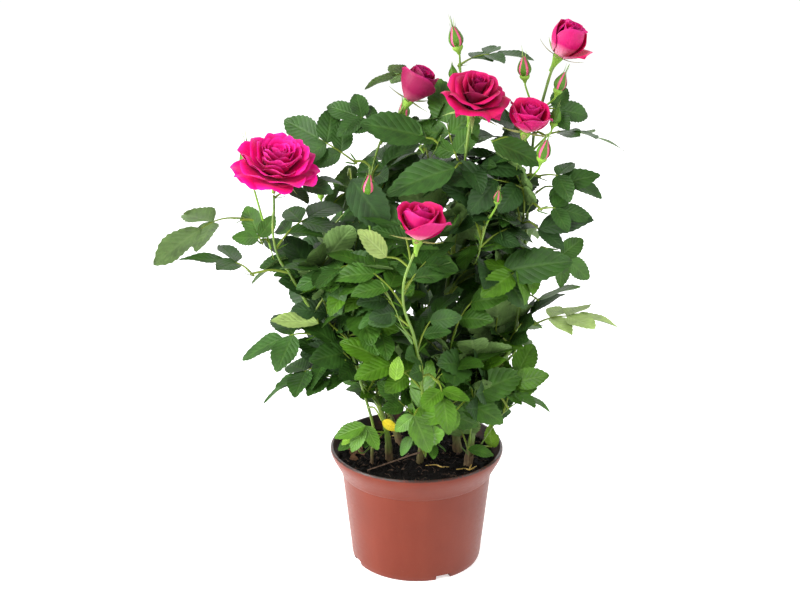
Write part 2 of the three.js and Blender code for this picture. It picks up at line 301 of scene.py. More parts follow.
# The top of the rim is painted near black in patches. This is partly peat stain and partly painted shade,
# which also dulls the lip's highlight.
STAINED_AND_SHADED_RIM = 0.0016
height = pot_paint.node("ShaderNodeSeparateXYZ", Vector=where).outputs["Z"]
rim_stain_and_shade = pot_paint.math("MULTIPLY_ADD", height, 900, clamp=True)
rim_stain_and_shade.node.inputs[2].default_value = -(TALL - STAINED_AND_SHADED_RIM) * 900
crumbs = pot_paint.ramp(pot_paint.noise(where, 520, 3), (0.30, (0.25,)), (0.50, (0.97,)))
base = pot_paint.blend(pot_paint.math("MULTIPLY", rim_stain_and_shade, crumbs), base, (0.02, 0.012, 0.009))
pot_paint.cover("Base_Color", base)
pot_paint.cover("Roughness", pot_paint.ramp(scuffs, (0.3, (0.29,)), (0.75, (0.48,))))
pot_paint.bump(pot_paint.math("ADD", streaks, pot_paint.math("MULTIPLY", flecks, 0.35)), 0.12, 0.0006)

# The inside of the wall is painted near black. This is partly peat stain and partly painted shade within the
# pot.
stained_and_shaded_paint = Paint("peat_stained_wall", (0.05, 0.02, 0.014), 0.7)
stained_and_shaded_paint.mottle(
    150, 5, (0.35, (0.012, 0.008, 0.006)), (0.60, (0.05, 0.018, 0.012)), (0.78, (0.16, 0.045, 0.027)),
    stretch=(1, 1, 0.5),
)
pot.data.materials.append(pot_paint.material)
pot.data.materials.append(stained_and_shaded_paint.material)
for face in pot.data.polygons:
    inward = face.normal.xy.dot(face.center.xy) < -1e-4 * face.center.xy.length
    face.material_index = int(inward and face.center.z > CHANNEL + WALL)
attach(pot, "root")
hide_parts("pot")

# ---- the peat ------------------------------------------------------------------------------
# Black moist peat that fills the pot to just under its rim. Its bed is one closed mesh with an
# uneven top: a low mound with lumps, crumbs and grit.
soil_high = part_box("soil")[1]
SOIL_TOP = soil_high.z
SOIL_EDGE = soil_high.x
BED_DEEP = 0.02
BED_FOOT = 0.050
chance = random.Random(11)


def mesh_piece(name, corners, faces, paints, paint_of=None, uvs=None, smooth=True):
    """An object from arrays, with one material or one for each face, and its own UV map."""
    data = bpy.data.meshes.new(name)
    data.from_pydata([tuple(c) for c in corners], [], faces)
    for paint in paints:
        data.materials.append(paint.material)
    if paint_of is not None:
        data.polygons.foreach_set("material_index", paint_of)
    if uvs is not None:
        layer = data.uv_layers.new(name="UVMap")
        flat = np.array([uvs[i] for face in faces for i in face], np.float32)
        layer.data.foreach_set("uv", flat.reshape(-1))
    if smooth:
        data.polygons.foreach_set("use_smooth", [True] * len(data.polygons))
    data.update()
    piece = bpy.data.objects.new(name, data)
    bpy.context.scene.collection.objects.link(piece)
    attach(piece, "root")
    return piece


def soil_height(x, y):
    """The height of the peat's surface: a low mound with lumps, crumbs and grit."""
    lumps = noise.noise(Vector((x * 60, y * 60, 3.1))) * 0.0011
    crumbs = noise.noise(Vector((x * 260, y * 260, 7.7))) * 0.0010
    grit = noise.noise(Vector((x * 800, y * 800, 1.3))) * 0.0007
    mound = 0.0016 * max(0.0, 1 - math.hypot(x, y) / 0.045)
    return SOIL_TOP - 0.0012 + lumps + crumbs + grit + mound


def dropped_at(reach):
    """A random spot on the peat, as far out as the square root of a draw says."""
    out = reach * SOIL_EDGE * math.sqrt(chance.random())
    turn = chance.uniform(0, 2 * math.pi)
    return out * math.cos(turn), out * math.sin(turn)


RINGS, SPOKES = 76, 220
turns = [2 * math.pi * j / SPOKES for j in range(SPOKES)]
spokes = [(math.cos(turn), math.sin(turn)) for turn in turns]
bed_corners = [(0, 0, soil_height(0, 0))]
for i in range(1, RINGS + 1):
    radius = (SOIL_EDGE + 0.0006) * i / RINGS
    bed_corners += [(radius * c, radius * s, soil_height(radius * c, radius * s)) for c, s in spokes]
bed_corners += [(BED_FOOT * c, BED_FOOT * s, SOIL_TOP - BED_DEEP) for c, s in spokes]
bed_corners.append((0, 0, SOIL_TOP - BED_DEEP))
last = len(bed_corners) - 1
under = 1 + RINGS * SPOKES
bed_faces = []
for j in range(SPOKES):
    k = (j + 1) % SPOKES
    bed_faces += [(0, 1 + j, 1 + k), (last, under + k, under + j)]
    for low in range(1, under, SPOKES):
        high = low + SPOKES
        bed_faces.append((low + j, high + j, high + k, low + k))

peat_paint = Paint("moist_peat", (0.006, 0.005, 0.004), 0.85, Specular_IOR_Level=0.12)
where = peat_paint.place()
patches = peat_paint.noise(where, 320, 5, 0.65)
damp = peat_paint.noise(where, 70, 3)
colour = peat_paint.ramp(
    patches, (0.35, (0.0015, 0.0014, 0.0013)), (0.64, (0.007, 0.005, 0.004)), (0.84, (0.030, 0.018, 0.011)),
)
peat_paint.cover("Base_Color", colour)
peat_paint.cover("Roughness", peat_paint.ramp(damp, (0.3, (0.72,)), (0.7, (0.95,))))
peat_paint.bump(peat_paint.noise(where, 1400, 5, 0.7), 0.8, 0.0008)
peat = mesh_piece("peat_bed", bed_corners, bed_faces, [peat_paint])
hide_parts("soil")

# ---- the crumbs and fibres -----------------------------------------------------------------
# Loose crumbs of peat lying on the bed, each an uneven eight-sided grain, a few of them brown,
# and short root fibres, each a shallow bow that lies over the crumbs.
GRAINS = 1900
BROWN_SHARE = 0.07
CRUMB = [(-1, 0, 0), (1, 0, 0), (0, -1, 0), (0, 1, 0), (0, 0, -1), (0, 0, 1)]
CRUMB_FACES = [(5, 1, 3), (5, 3, 0), (5, 0, 2), (5, 2, 1), (4, 3, 1), (4, 0, 3), (4, 2, 0), (4, 1, 2)]
crumb_corners, crumb_faces, crumb_tints = [], [], []
for _ in range(GRAINS):
    x, y = dropped_at(1.0)
    size = 0.0004 + 0.0013 * chance.random() ** 2.4
    start = len(crumb_corners)
    spin = chance.uniform(0, math.pi)
    for cx, cy, cz in CRUMB:
        stretch = size * chance.uniform(0.6, 1.35)
        rx = cx * math.cos(spin) - cy * math.sin(spin)
        ry = cx * math.sin(spin) + cy * math.cos(spin)
        rise = 0.3 * size + cz * stretch * 0.8
        crumb_corners.append((x + rx * stretch, y + ry * stretch, soil_height(x, y) + rise))
    crumb_faces += [tuple(start + k for k in face) for face in CRUMB_FACES]
    crumb_tints += [int(chance.random() < BROWN_SHARE)] * len(CRUMB_FACES)
brown_crumb_paint = Paint("brown_crumb", (0.045, 0.022, 0.012), 0.85)
brown_crumb_paint.mottle(500, 3, (0.3, (0.03, 0.016, 0.009)), (0.7, (0.085, 0.045, 0.024)))
crumbs = mesh_piece(
    "peat_crumbs", crumb_corners, crumb_faces, [peat_paint, brown_crumb_paint], crumb_tints, smooth=False,
)


def tube(path, radii, sides, corners, faces):
    """Adds a closed tube along a path of points to the lists of corners and faces."""
    path = [Vector(p) for p in path]
    start = len(corners)
    side = None
    for i, point in enumerate(path):
        ahead = (path[min(i + 1, len(path) - 1)] - path[max(i - 1, 0)]).normalized()
        if side is None:
            side = ahead.orthogonal().normalized()
        side = (side - ahead * side.dot(ahead)).normalized()
        across = ahead.cross(side)
        for j in range(sides):
            turn = 2 * math.pi * j / sides
            corners.append(point + radii[i] * (math.cos(turn) * side + math.sin(turn) * across))
    tube_faces(start, len(path), sides, faces)


def tube_faces(start, rings, sides, faces):
    """The faces of a tube whose rings of corners follow each other, with both ends closed."""
    for low in range(start, start + (rings - 1) * sides, sides):
        high = low + sides
        for j in range(sides):
            k = (j + 1) % sides
            faces.append((low + j, low + k, high + k, high + j))
    faces.append(tuple(start + j for j in reversed(range(sides))))
    faces.append(tuple(start + (rings - 1) * sides + j for j in range(sides)))


def curve_through(points, step):
    """Evenly spaced points on a smooth curve through the given ones."""
    points = [Vector(p) for p in points]
    ends = [2 * points[0] - points[1], *points, 2 * points[-1] - points[-2]]
    path = []
    for a, b, c, d in zip(ends, ends[1:], ends[2:], ends[3:]):
        count = max(1, round((c - b).length / step))
        for k in range(count):
            t = k / count
            path.append(0.5 * (
                2 * b + (c - a) * t + (2 * a - 5 * b + 4 * c - d) * t * t
                + (3 * b - a - 3 * c + d) * t * t * t
            ))
    path.append(points[-1])
    return path


FIBRES = 190
fibre_corners, fibre_faces = [], []
for _ in range(FIBRES):
    x, y = dropped_at(0.95)
    way = chance.uniform(0, 2 * math.pi)
    length = chance.uniform(0.002, 0.008)
    bow = chance.uniform(-0.5, 0.5)
    path = []
    for k in range(5):
        share = k / 4 - 0.5
        along = length * share
        off = bow * length * (share ** 2 - 0.1)
        px = x + along * math.cos(way) - off * math.sin(way)
        py = y + along * math.sin(way) + off * math.cos(way)
        path.append((px, py, soil_height(px, py) + 0.0004 + 0.0006 * math.sin(k * 1.1)))
    tube(path, [0.00012 + 0.0001 * chance.random()] * 5, 4, fibre_corners, fibre_faces)
fibres = mesh_piece("peat_fibres", fibre_corners, fibre_faces, [brown_crumb_paint])

# ---- the straw and the twig ----------------------------------------------------------------
# Four pale bits of straw lying on the peat, and a dry brown twig that leans up from it, with
# one short side branch. All are thin, bent and a little thicker in the middle or at one end.
straw_paint = Paint("straw", (0.62, 0.42, 0.10), 0.55)
straw_paint.mottle(420, 4, (0.3, (0.45, 0.27, 0.05)), (0.7, (0.72, 0.52, 0.15)), stretch=(1, 1, 6))
straw_corners, straw_faces = [], []
for points, radius in (
    (((0.006, -0.020), (0.013, -0.0175), (0.017, -0.0205), (0.022, -0.0195)), 0.00045),
    (((0.027, -0.0235), (0.033, -0.0205), (0.036, -0.0225), (0.041, -0.0195)), 0.0006),
    (((0.036, -0.021), (0.0375, -0.0165), (0.0360, -0.013)), 0.0006),
    (((-0.022, 0.030), (-0.016, 0.034), (-0.012, 0.033)), 0.0005),
):
    path = curve_through([(x, y, soil_height(x, y) + 0.0009) for x, y in points], 0.002)
    radii = [radius * (1 - 0.4 * abs(2 * i / len(path) - 1)) for i in range(len(path))]
    tube(path, radii, 6, straw_corners, straw_faces)
straws = mesh_piece("straw_bits", straw_corners, straw_faces, [straw_paint])

twig_paint = Paint("dry_twig", (0.13, 0.075, 0.045), 0.8)
twig_grain = twig_paint.mottle(600, 5, (0.3, (0.07, 0.038, 0.02)), (0.7, (0.24, 0.15, 0.10)))
twig_paint.bump(twig_grain, 0.6, 0.0004)
twig_corners, twig_faces = [], []
path = curve_through([
    (-0.034, -0.025, soil_height(-0.034, -0.025) + 0.0008), (-0.024, -0.0235, 0.0775),
    (-0.013, -0.021, 0.0805), (-0.004, -0.020, 0.0835), (0.002, -0.018, 0.0845),
], 0.0025)
tube(path, [0.0004 + 0.0003 * i / len(path) for i in range(len(path))], 7, twig_corners, twig_faces)
path = curve_through([(-0.008, -0.0205, 0.0822), (-0.0055, -0.0215, 0.0855)], 0.0015)
tube(path, [0.0005, 0.0004, 0.0002, 0.0002, 0.0002], 6, twig_corners, twig_faces)
dry_twig = mesh_piece("dry_twig", twig_corners, twig_faces, [twig_paint])

# ---- the canes -----------------------------------------------------------------------------
# Rooted cuttings, six or seven in the pot: slim woody canes, brown and corky at the foot and
# green above, with a swelling and a scar at each node. Each runs on up through the leaves.
MM = 0.001
chance = random.Random(23)


def centreline(name, step=6 * MM):
    """Centres and radii of a limb, from level cuts through its mesh, foot to tip."""
    mesh = nodes[name].data
    mesh.calc_loop_triangles()
    points = np.array([v.co for v in mesh.vertices], float)
    triangles = np.array([t.vertices for t in mesh.loop_triangles])
    low, high = points[:, 2].min(), points[:, 2].max()
    centres, radii = [], []
    for level in np.arange(low + 2.5 * MM, high - 2 * MM, step):
        crossings = []
        for corners in points[triangles]:
            above = corners[:, 2] > level
            for a, b in ((0, 1), (1, 2), (2, 0)):
                if above[a] != above[b]:
                    share = (level - corners[a, 2]) / (corners[b, 2] - corners[a, 2])
                    crossings.append(corners[a] + share * (corners[b] - corners[a]))
        ring = np.array(crossings)
        spread = np.linalg.eigvalsh(np.cov(ring[:, :2].T))[0]
        centres.append(Vector(ring.mean(0)))
        radii.append(math.sqrt(2 * max(spread, 1e-9)))
    return centres, radii


def middle_of(name):
    low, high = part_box(name)
    return (low + high) / 2


class Route:
    """A stem: points along its middle with a radius at each, and its name."""

    def __init__(self, name, points, radii, step=2 * MM):
        self.name = name
        self.path = curve_through(points, step)
        known = self.distances(points)
        self.along = self.distances(self.path)
        self.length = self.along[-1]
        known = [k * self.length / known[-1] for k in known]
        slim = [0.60 - 0.05 * min(1.0, max(0.0, (p.z - 0.12) / 0.06)) for p in self.path]
        self.radii = [thin * float(r) for thin, r in zip(slim, np.interp(self.along, known, radii))]

    def distances(self, points):
        """How far along the line each of its points is."""
        along = [0.0]
        for a, b in zip(points, points[1:]):
            along.append(along[-1] + (Vector(b) - Vector(a)).length)
        return along

    def ahead(self, i):
        """The way that the stem runs at one of its points."""
        return (self.path[min(i + 1, len(self.path) - 1)] - self.path[max(i - 1, 0)]).normalized()


# Each cane's route: limb nodes by name, and the masses it passes through on its way.
cane_routes = {
    "left_cane": ("cane_left", "cane_left_upper", "stem_rose_left"),
    "front_cane": ("cane_front",),
    "middle_cane": ("cane_middle", "cane_middle_upper", "stem_rose_top"),
    "right_cane": ("cane_right", "foliage_right_low", "foliage_right_flank", "stem_rose_peak"),
    "back_left_cane": ("cane_back_left", "stem_rose_upper_left"),
    "back_cane": ("cane_back", "foliage_back_low", "foliage_back_top"),
}
canes = []
for name, parts in cane_routes.items():
    points, radii = [], []
    for part in parts:
        if part.startswith("foliage"):
            points.append(middle_of(part))
            radii.append(None)
        else:
            centres, widths = centreline(part)
            points += centres[:: 3] + ([centres[-1]] if (len(centres) - 1) % 3 else [])
            radii += widths[:: 3] + ([widths[-1]] if (len(widths) - 1) % 3 else [])
    measured = [(i, r) for i, r in enumerate(radii) if r is not None]
    radii = list(np.interp(range(len(radii)), [i for i, r in measured], [r for i, r in measured]))
    if parts[-1].startswith("foliage"):
        radii[-2:] = [1.3 * MM, 0.9 * MM]
    foot = points[0].copy()
    foot.z = SOIL_TOP - 6 * MM
    points.insert(0, foot)
    radii.insert(0, radii[0] * 1.1)
    if parts[-1].startswith("stem_rose"):
        rose = parts[-1].replace("stem_", "")
        points.append(points[-1] + (middle_of(rose) - points[-1]).normalized() * 4 * MM)
        radii.append(radii[-1])
    canes.append(Route(name, points, radii))

# The stem of the left-hand bloom stands straight for its last stretch.
STRAIGHT = 50 * MM
left_cane = canes[0]
left_top = left_cane.path[-1].copy()
for point in left_cane.path:
    share = max(0.0, 1 - (left_top.z - point.z) / STRAIGHT)
    point.x += (left_top.x - point.x) * math.sqrt(share)


# Bark: green with paler and browner patches, turning to brown cork near the soil.
cane_paint = Paint("green_cane", (0.10, 0.19, 0.012), 0.45, Coat_Weight=0.06)
where = cane_paint.place()
height = cane_paint.node("ShaderNodeSeparateXYZ", Vector=where).outputs["Z"]
patchy = cane_paint.noise(where, 55, 4)
fine = cane_paint.noise(cane_paint.place((1, 1, 0.25)), 700, 4)
woody = cane_paint.math("ADD", cane_paint.math("MULTIPLY", height, -26), 2.55)
woody = cane_paint.math("ADD", woody, cane_paint.math("MULTIPLY", patchy, 1.3))
woody = cane_paint.ramp(cane_paint.math("MULTIPLY", woody, 0.5), (0.32, (0,)), (0.62, (1,)))
fresh = cane_paint.ramp(
    patchy, (0.30, (0.060, 0.125, 0.008)), (0.55, (0.115, 0.205, 0.018)), (0.78, (0.20, 0.26, 0.035)),
)
fresh = cane_paint.blend(cane_paint.ramp(fine, (0.5, (0,)), (0.8, (0.3,))), fresh, (0.16, 0.12, 0.03))
bark = cane_paint.ramp(
    fine, (0.25, (0.045, 0.026, 0.012)), (0.5, (0.125, 0.078, 0.034)), (0.8, (0.24, 0.17, 0.085)),
)
cane_paint.cover("Base_Color", cane_paint.blend(woody, fresh, bark))
cane_paint.cover("Roughness", cane_paint.blend(woody, (0.42, 0.42, 0.42), (0.8, 0.8, 0.8)))
cane_paint.bump(cane_paint.math("ADD", fine, cane_paint.math("MULTIPLY", patchy, 0.5)), 0.45, 0.0005)


NODE_SPACING = 17 * MM
SWELLING = 0.14
RIDGE = 0.035
CORK_TOP = 0.102
CANE_SIDES, SHOOT_SIDES = 12, 8


def stem_mesh(route, corners, faces, sides):
    """Sweeps a stem with node swellings, long ridges and, low down, a corky relief."""
    first = chance.uniform(5 * MM, NODE_SPACING)
    centres = [first + k * NODE_SPACING * (1 + 0.15 * math.sin(5 * k)) for k in range(40)]
    start = len(corners)
    side = None
    for i, point in enumerate(route.path):
        ahead = route.ahead(i)
        side = (ahead.orthogonal() if side is None else side - ahead * side.dot(ahead)).normalized()
        across = ahead.cross(side)
        cork = max(0.0, min(1.0, (CORK_TOP - point.z) / 0.03))
        off = min(abs(route.along[i] - c) for c in centres)
        swell = 1 + SWELLING * math.exp(-(off / (1.6 * MM)) ** 2)
        for j in range(sides):
            turn = 2 * math.pi * j / sides
            ridge = 1 + RIDGE * math.sin(5 * turn + route.along[i] * 60)
            grain = noise.noise(Vector((point.x * 300 + turn * 2, turn * 2.2, point.z * 260)))
            radius = route.radii[i] * swell * ridge * (1 + (0.03 + 0.20 * cork) * grain)
            corners.append(point + radius * (math.cos(turn) * side + math.sin(turn) * across))
    tube_faces(start, len(route.path), sides, faces)


def prickles(route, corners, faces, spacing, size):
    """Small hooked prickles, pointing a little down, round the older part of a cane."""
    for i in range(6, len(route.path) - 8):
        if chance.random() > route.length / len(route.path) / spacing:
            continue
        ahead = route.ahead(i)
        turn = chance.uniform(0, 2 * math.pi)
        side = ahead.orthogonal().normalized()
        out = math.cos(turn) * side + math.sin(turn) * ahead.cross(side)
        length = size * chance.uniform(0.7, 1.2)
        skin = route.path[i] + out * route.radii[i] * 0.8
        path = [skin, skin + out * length * 0.4, skin + out * length - ahead * length * 0.35]
        tube(path, [0.30 * length, 0.17 * length, 0.02 * length], 5, corners, faces)


for route in canes:
    corners, faces = [], []
    stem_mesh(route, corners, faces, CANE_SIDES)
    prickles(route, corners, faces, spacing=26 * MM, size=1.9 * MM)
    cane = mesh_piece(route.name, corners, faces, [cane_paint])
    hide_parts(*[part for part in cane_routes[route.name] if not part.startswith("foliage")])

# ---- the side shoots -----------------------------------------------------------------------
# Thinner green shoots that fork off the canes into the masses of leaves that no cane passes
# through, and a few that rise from the peat beside a cane's foot.
shoots = []


def skeleton_point(place, above=None, among=None, reach=None):
    """The point of a stem nearest a place, or nearest to a given reach from it."""
    best, found = 1e9, None
    for route in among or canes:
        for i, point in enumerate(route.path[2:-1], 2):
            if point.z < SOIL_TOP + 8 * MM or (above is not None and point.z > above):
                continue
            gap = (point - place).length
            cost = gap if reach is None else abs(gap - reach) + 0.35 * max(0, point.z - place.z)
            if cost < best:
                best, found = cost, (route, i)
    return found


def shoot(name, start, goals, radius):
    """A shoot from a point of a stem, or from a place in the peat, past its goals."""
    if isinstance(start, tuple):
        route, i = start
        foot, way = route.path[i], route.ahead(i)
        radius = min(radius, route.radii[i] * 0.85)
    else:
        foot, way = start, Vector((0, 0, 1))
    ahead = Vector(goals[0]) - foot
    bend = foot + way * ahead.length * 0.22 + ahead * 0.14
    points = [foot, bend, *[Vector(goal) for goal in goals]]
    shoots.append(Route(name, points, np.linspace(radius, radius * 0.6, len(points))))


# For each mass: how far its shoot rises past the middle of the mass, and its thickness.
for mass, rises, radius in (
    ("left", (12, 20), 1.5), ("left_inner", (6, 18), 1.3), ("left_flank", (-4, 12), 1.2),
    ("heart_left", (10, 26), 1.6), ("shoulder_left", (4, 14), 1.2), ("upper_middle", (6, 14), 1.3),
    ("upper_right", (6, 16), 1.5), ("crown", (4, 14), 1.3), ("heart_right", (10, 26), 1.5),
    ("right_upper", (8, 18), 1.3), ("right_flank", (8, 18), 1.3), ("right_low", (4, 16), 1.4),
    ("heart_low", (6, 14), 1.2), ("back_left", (10, 22), 1.8), ("back_right", (10, 22), 1.8),
    ("back_top", (6, 16), 1.4), ("skirt_left", (0, 6), 1.1), ("soil_left", (0, 4), 1.1),
    ("soil_front", (0, 6), 1.0),
):
    centre = middle_of("foliage_" + mass)
    out = Vector((centre.x - 4 * MM, centre.y * 0.8, 0)).normalized()
    goals = [centre + Vector((0, 0, -8 * MM))]
    goals += [centre + out * far * MM + Vector((0, 0, rise * MM)) for far, rise in zip((6, 10), rises)]
    start = skeleton_point(goals[0] - Vector((0, 0, 30 * MM)), above=centre.z - 14 * MM)
    shoot("shoot_" + mass, start or skeleton_point(goals[0]), goals, radius * MM)

# The shoot that carries the right-hand bloom, and thin shoots that fork near the soil.
rose_right_foot = middle_of("rose_right") - Vector((2.5, -4.5, 13)) * MM
shoot("shoot_rose_right", skeleton_point(middle_of("foliage_right_upper")), [
    middle_of("foliage_upper_right") + Vector((4, -12, -6)) * MM, rose_right_foot,
], 1.5 * MM)
right_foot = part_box("cane_right")[0]
fork = Vector((right_foot.x + 5 * MM, right_foot.y + 4 * MM, SOIL_TOP - 2 * MM))
shoot("fork_low_right", fork, [
    fork + Vector((8, -4, 18)) * MM, fork + Vector((22, -7, 42)) * MM, middle_of("spray_low_right"),
], 1.1 * MM)
shoot("fork_inner_right", fork + Vector((1, -2, 0)) * MM, [
    fork + Vector((1, -7, 26)) * MM, fork + Vector((3, -12, 52)) * MM,
    middle_of("foliage_heart_low") + Vector((20, 0, -14)) * MM,
], 1.2 * MM)
shoot("fork_rear_right", fork + Vector((4, 12, 0)) * MM, [
    fork + Vector((6, 14, 24)) * MM, fork + Vector((16, 15, 60)) * MM, middle_of("foliage_right_low"),
], 1.5 * MM)
second_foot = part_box("cane_left")[0] + Vector((5, 2, 0)) * MM
shoot("second_left_cane", Vector((second_foot.x, second_foot.y, SOIL_TOP - 2 * MM)), [
    Vector((-30, -16, 104)) * MM, Vector((-41, -24, 150)) * MM, Vector((-46, -26, 172)) * MM,
    Vector((-41, -24, 202)) * MM, middle_of("foliage_left_inner"),
], 1.9 * MM)
shoot("front_side_stem", skeleton_point(Vector((-4, -55, 175)) * MM), [
    Vector((-10, -60, 190)) * MM, Vector((-15, -60, 203)) * MM, Vector((-23, -58, 219)) * MM,
], 1.1 * MM)

corners, faces = [], []
for route in shoots:
    stem_mesh(route, corners, faces, SHOOT_SIDES)
    prickles(route, corners, faces, spacing=60 * MM, size=1.2 * MM)
side_shoots = mesh_piece("side_shoots", corners, faces, [cane_paint])
routes = canes + shoots

# ---- the leaves ----------------------------------------------------------------------------
# Rose leaflets: thin toothed blades with a midrib and slanting side veins. They are glossy dark
# green above and paler below, brighter when young, and turn to the light.
TEETH = 9
ALONG = np.array([0, *((k + share) / TEETH for k in range(TEETH) for share in (0.42, 0.98))])
ALONG[-1] = 1.0
ACROSS = np.array([-1.0, 0.0, 1.0])
OUTLINE_AT = (0, .04, .12, .25, .40, .52, .66, .80, .92, 1)
OUTLINE = (.04, .34, .68, .93, 1, .98, .86, .62, .32, .02)


def sheet_faces(rows, columns):
    """Faces of a thin closed blade: a top, and an underside that shares the top's rim."""
    top = np.arange(rows * columns).reshape(rows, columns)
    below = top.copy()
    inner = np.arange((rows - 2) * (columns - 2)) + rows * columns
    below[1:-1, 1:-1] = inner.reshape(rows - 2, columns - 2)
    upper, lower = [], []
    for i in range(rows - 1):
        for j in range(columns - 1):
            upper.append((top[i, j], top[i, j + 1], top[i + 1, j + 1], top[i + 1, j]))
            lower.append((below[i, j], below[i + 1, j], below[i + 1, j + 1], below[i, j + 1]))
    return np.array(upper), np.array(lower)


class Blades:
    """Gathers many thin blades into one mesh, with a paint for each side of each blade."""

    def __init__(self):
        self.corners, self.faces, self.paints, self.uvs, self.count = [], [], [], [], 0

    def add_faces(self, faces, paint):
        self.faces.append(faces)
        self.paints.append(np.full(len(faces), paint))

    def add(self, grid, thickness, top_paint, under_paint, across, along):
        """A blade from a grid of points, with an underside below all but its rim."""
        rows, columns = grid.shape[:2]
        normal = np.cross(np.gradient(grid, axis=1), np.gradient(grid, axis=0))
        normal /= np.linalg.norm(normal, axis=2, keepdims=True) + 1e-12
        inner = (grid - normal * thickness)[1:-1, 1:-1].reshape(-1, 3)
        upper, lower = sheet_faces(rows, columns)
        self.add_faces(upper + self.count, top_paint)
        self.add_faces(lower + self.count, under_paint)
        self.corners += [grid.reshape(-1, 3), inner]
        uv = np.stack(np.meshgrid(across, along), 2)
        self.uvs += [uv.reshape(-1, 2), uv[1:-1, 1:-1].reshape(-1, 2)]
        self.count += rows * columns + len(inner)

    def add_tube(self, path, radii, sides, paint):
        corners, faces = [], []
        tube(path, radii, sides, corners, faces)
        self.add_faces(np.array([f for f in faces if len(f) == 4]) + self.count, paint)
        for end in (f for f in faces if len(f) != 4):
            self.add_faces(np.array([(end[0], a, b) for a, b in zip(end[1:], end[2:])]) + self.count, paint)
        self.corners.append(np.array([tuple(c) for c in corners]))
        self.uvs.append(np.full((len(corners), 2), 0.5))
        self.count += len(corners)

    def piece(self, name, paints, crease=50):
        """The mesh, with the paints that it uses, smooth but for its sharper creases."""
        paint_of = np.concatenate(self.paints).tolist()
        used = sorted(set(paint_of))
        faces = [tuple(face) for group in self.faces for face in group.tolist()]
        made = mesh_piece(
            name, np.concatenate(self.corners), faces, [paints[i] for i in used],
            [used.index(paint) for paint in paint_of], np.concatenate(self.uvs),
        )
        pick(made)
        bpy.ops.object.shade_smooth_by_angle(angle=math.radians(crease))
        return made


class Pattern(Nodes):
    """A pattern that several materials place: a node group with named inputs and outputs."""

    def __init__(self, name, inputs, outputs):
        super().__init__(bpy.data.node_groups.new(name, "ShaderNodeTree"))
        for way, kinds in (("INPUT", inputs), ("OUTPUT", outputs)):
            for socket, kind in kinds.items():
                self.tree.interface.new_socket(socket, in_out=way, socket_type="NodeSocket" + kind)
        self.given = self.tree.nodes.new("NodeGroupInput").outputs
        self.ends = self.tree.nodes.new("NodeGroupOutput")

    def put_out(self, **values):
        for socket, value in values.items():
            self.set(self.ends, socket, value)

    def on(self, paint, **inputs):
        """Places the group in a material and gives its outputs."""
        made = paint.tree.nodes.new("ShaderNodeGroup")
        made.node_tree = self.tree
        for socket, value in inputs.items():
            paint.set(made, socket, value)
        return made.outputs


# The midrib, slanting side veins and the blade's rim, from the leaflet's own length and width.
leaf_veins = Pattern(
    "leaf_veins", {"UV": "Vector", "Veins": "Float"}, {"Rim": "Float", "Lines": "Float", "Relief": "Float"},
)
split = leaf_veins.node("ShaderNodeSeparateXYZ", Vector=leaf_veins.given["UV"])
off = leaf_veins.math("ABSOLUTE", leaf_veins.math("SUBTRACT", split.outputs["X"], 0.5))
rib = leaf_veins.ramp(off, (0.0, (1,)), (0.035, (0.55,)), (0.07, (0,)))
slant = leaf_veins.math("SUBTRACT", split.outputs["Y"], leaf_veins.math("MULTIPLY", off, 0.55))
rate = leaf_veins.math("MULTIPLY", leaf_veins.given["Veins"], 2 * math.pi)
wave = leaf_veins.math("SINE", leaf_veins.math("MULTIPLY", slant, rate))
lines = leaf_veins.math("MAXIMUM", rib, leaf_veins.ramp(wave, (0.80, (0,)), (1.0, (0.38,))))
leaf_veins.put_out(
    Rim=leaf_veins.ramp(off, (0.30, (0,)), (0.5, (0.35,))), Lines=lines,
    Relief=leaf_veins.math("SUBTRACT", leaf_veins.math("MULTIPLY", wave, -0.25), lines),
)
SIDE_VEINS = 8
VEIN_SHARE = 0.27


def leaf_paint(name, colour, edge, vein, gloss=0.56):
    """A mottled leaf surface with its rim and its veins in their own colours."""
    paint = Paint(name, colour, gloss, Coat_Roughness=0.32, Specular_IOR_Level=0.32)
    veins = leaf_veins.on(paint, UV=paint.node("ShaderNodeUVMap").outputs["UV"], Veins=SIDE_VEINS)
    mottle = paint.noise(paint.place(), 130, 4)
    shades = [tuple(c * depth for c in colour) for depth in (0.66, 1.32)]
    tone = paint.ramp(mottle, (0.3, shades[0]), (0.7, shades[1]))
    tone = paint.blend(veins["Rim"], tone, edge)
    tone = paint.blend(paint.math("MULTIPLY", veins["Lines"], VEIN_SHARE), tone, vein)
    paint.cover("Base_Color", tone)
    paint.cover("Roughness", paint.ramp(mottle, (0.3, (gloss - 0.05,)), (0.7, (gloss + 0.07,))))
    paint.bump(veins["Relief"], 0.36, 0.0006)
    return paint


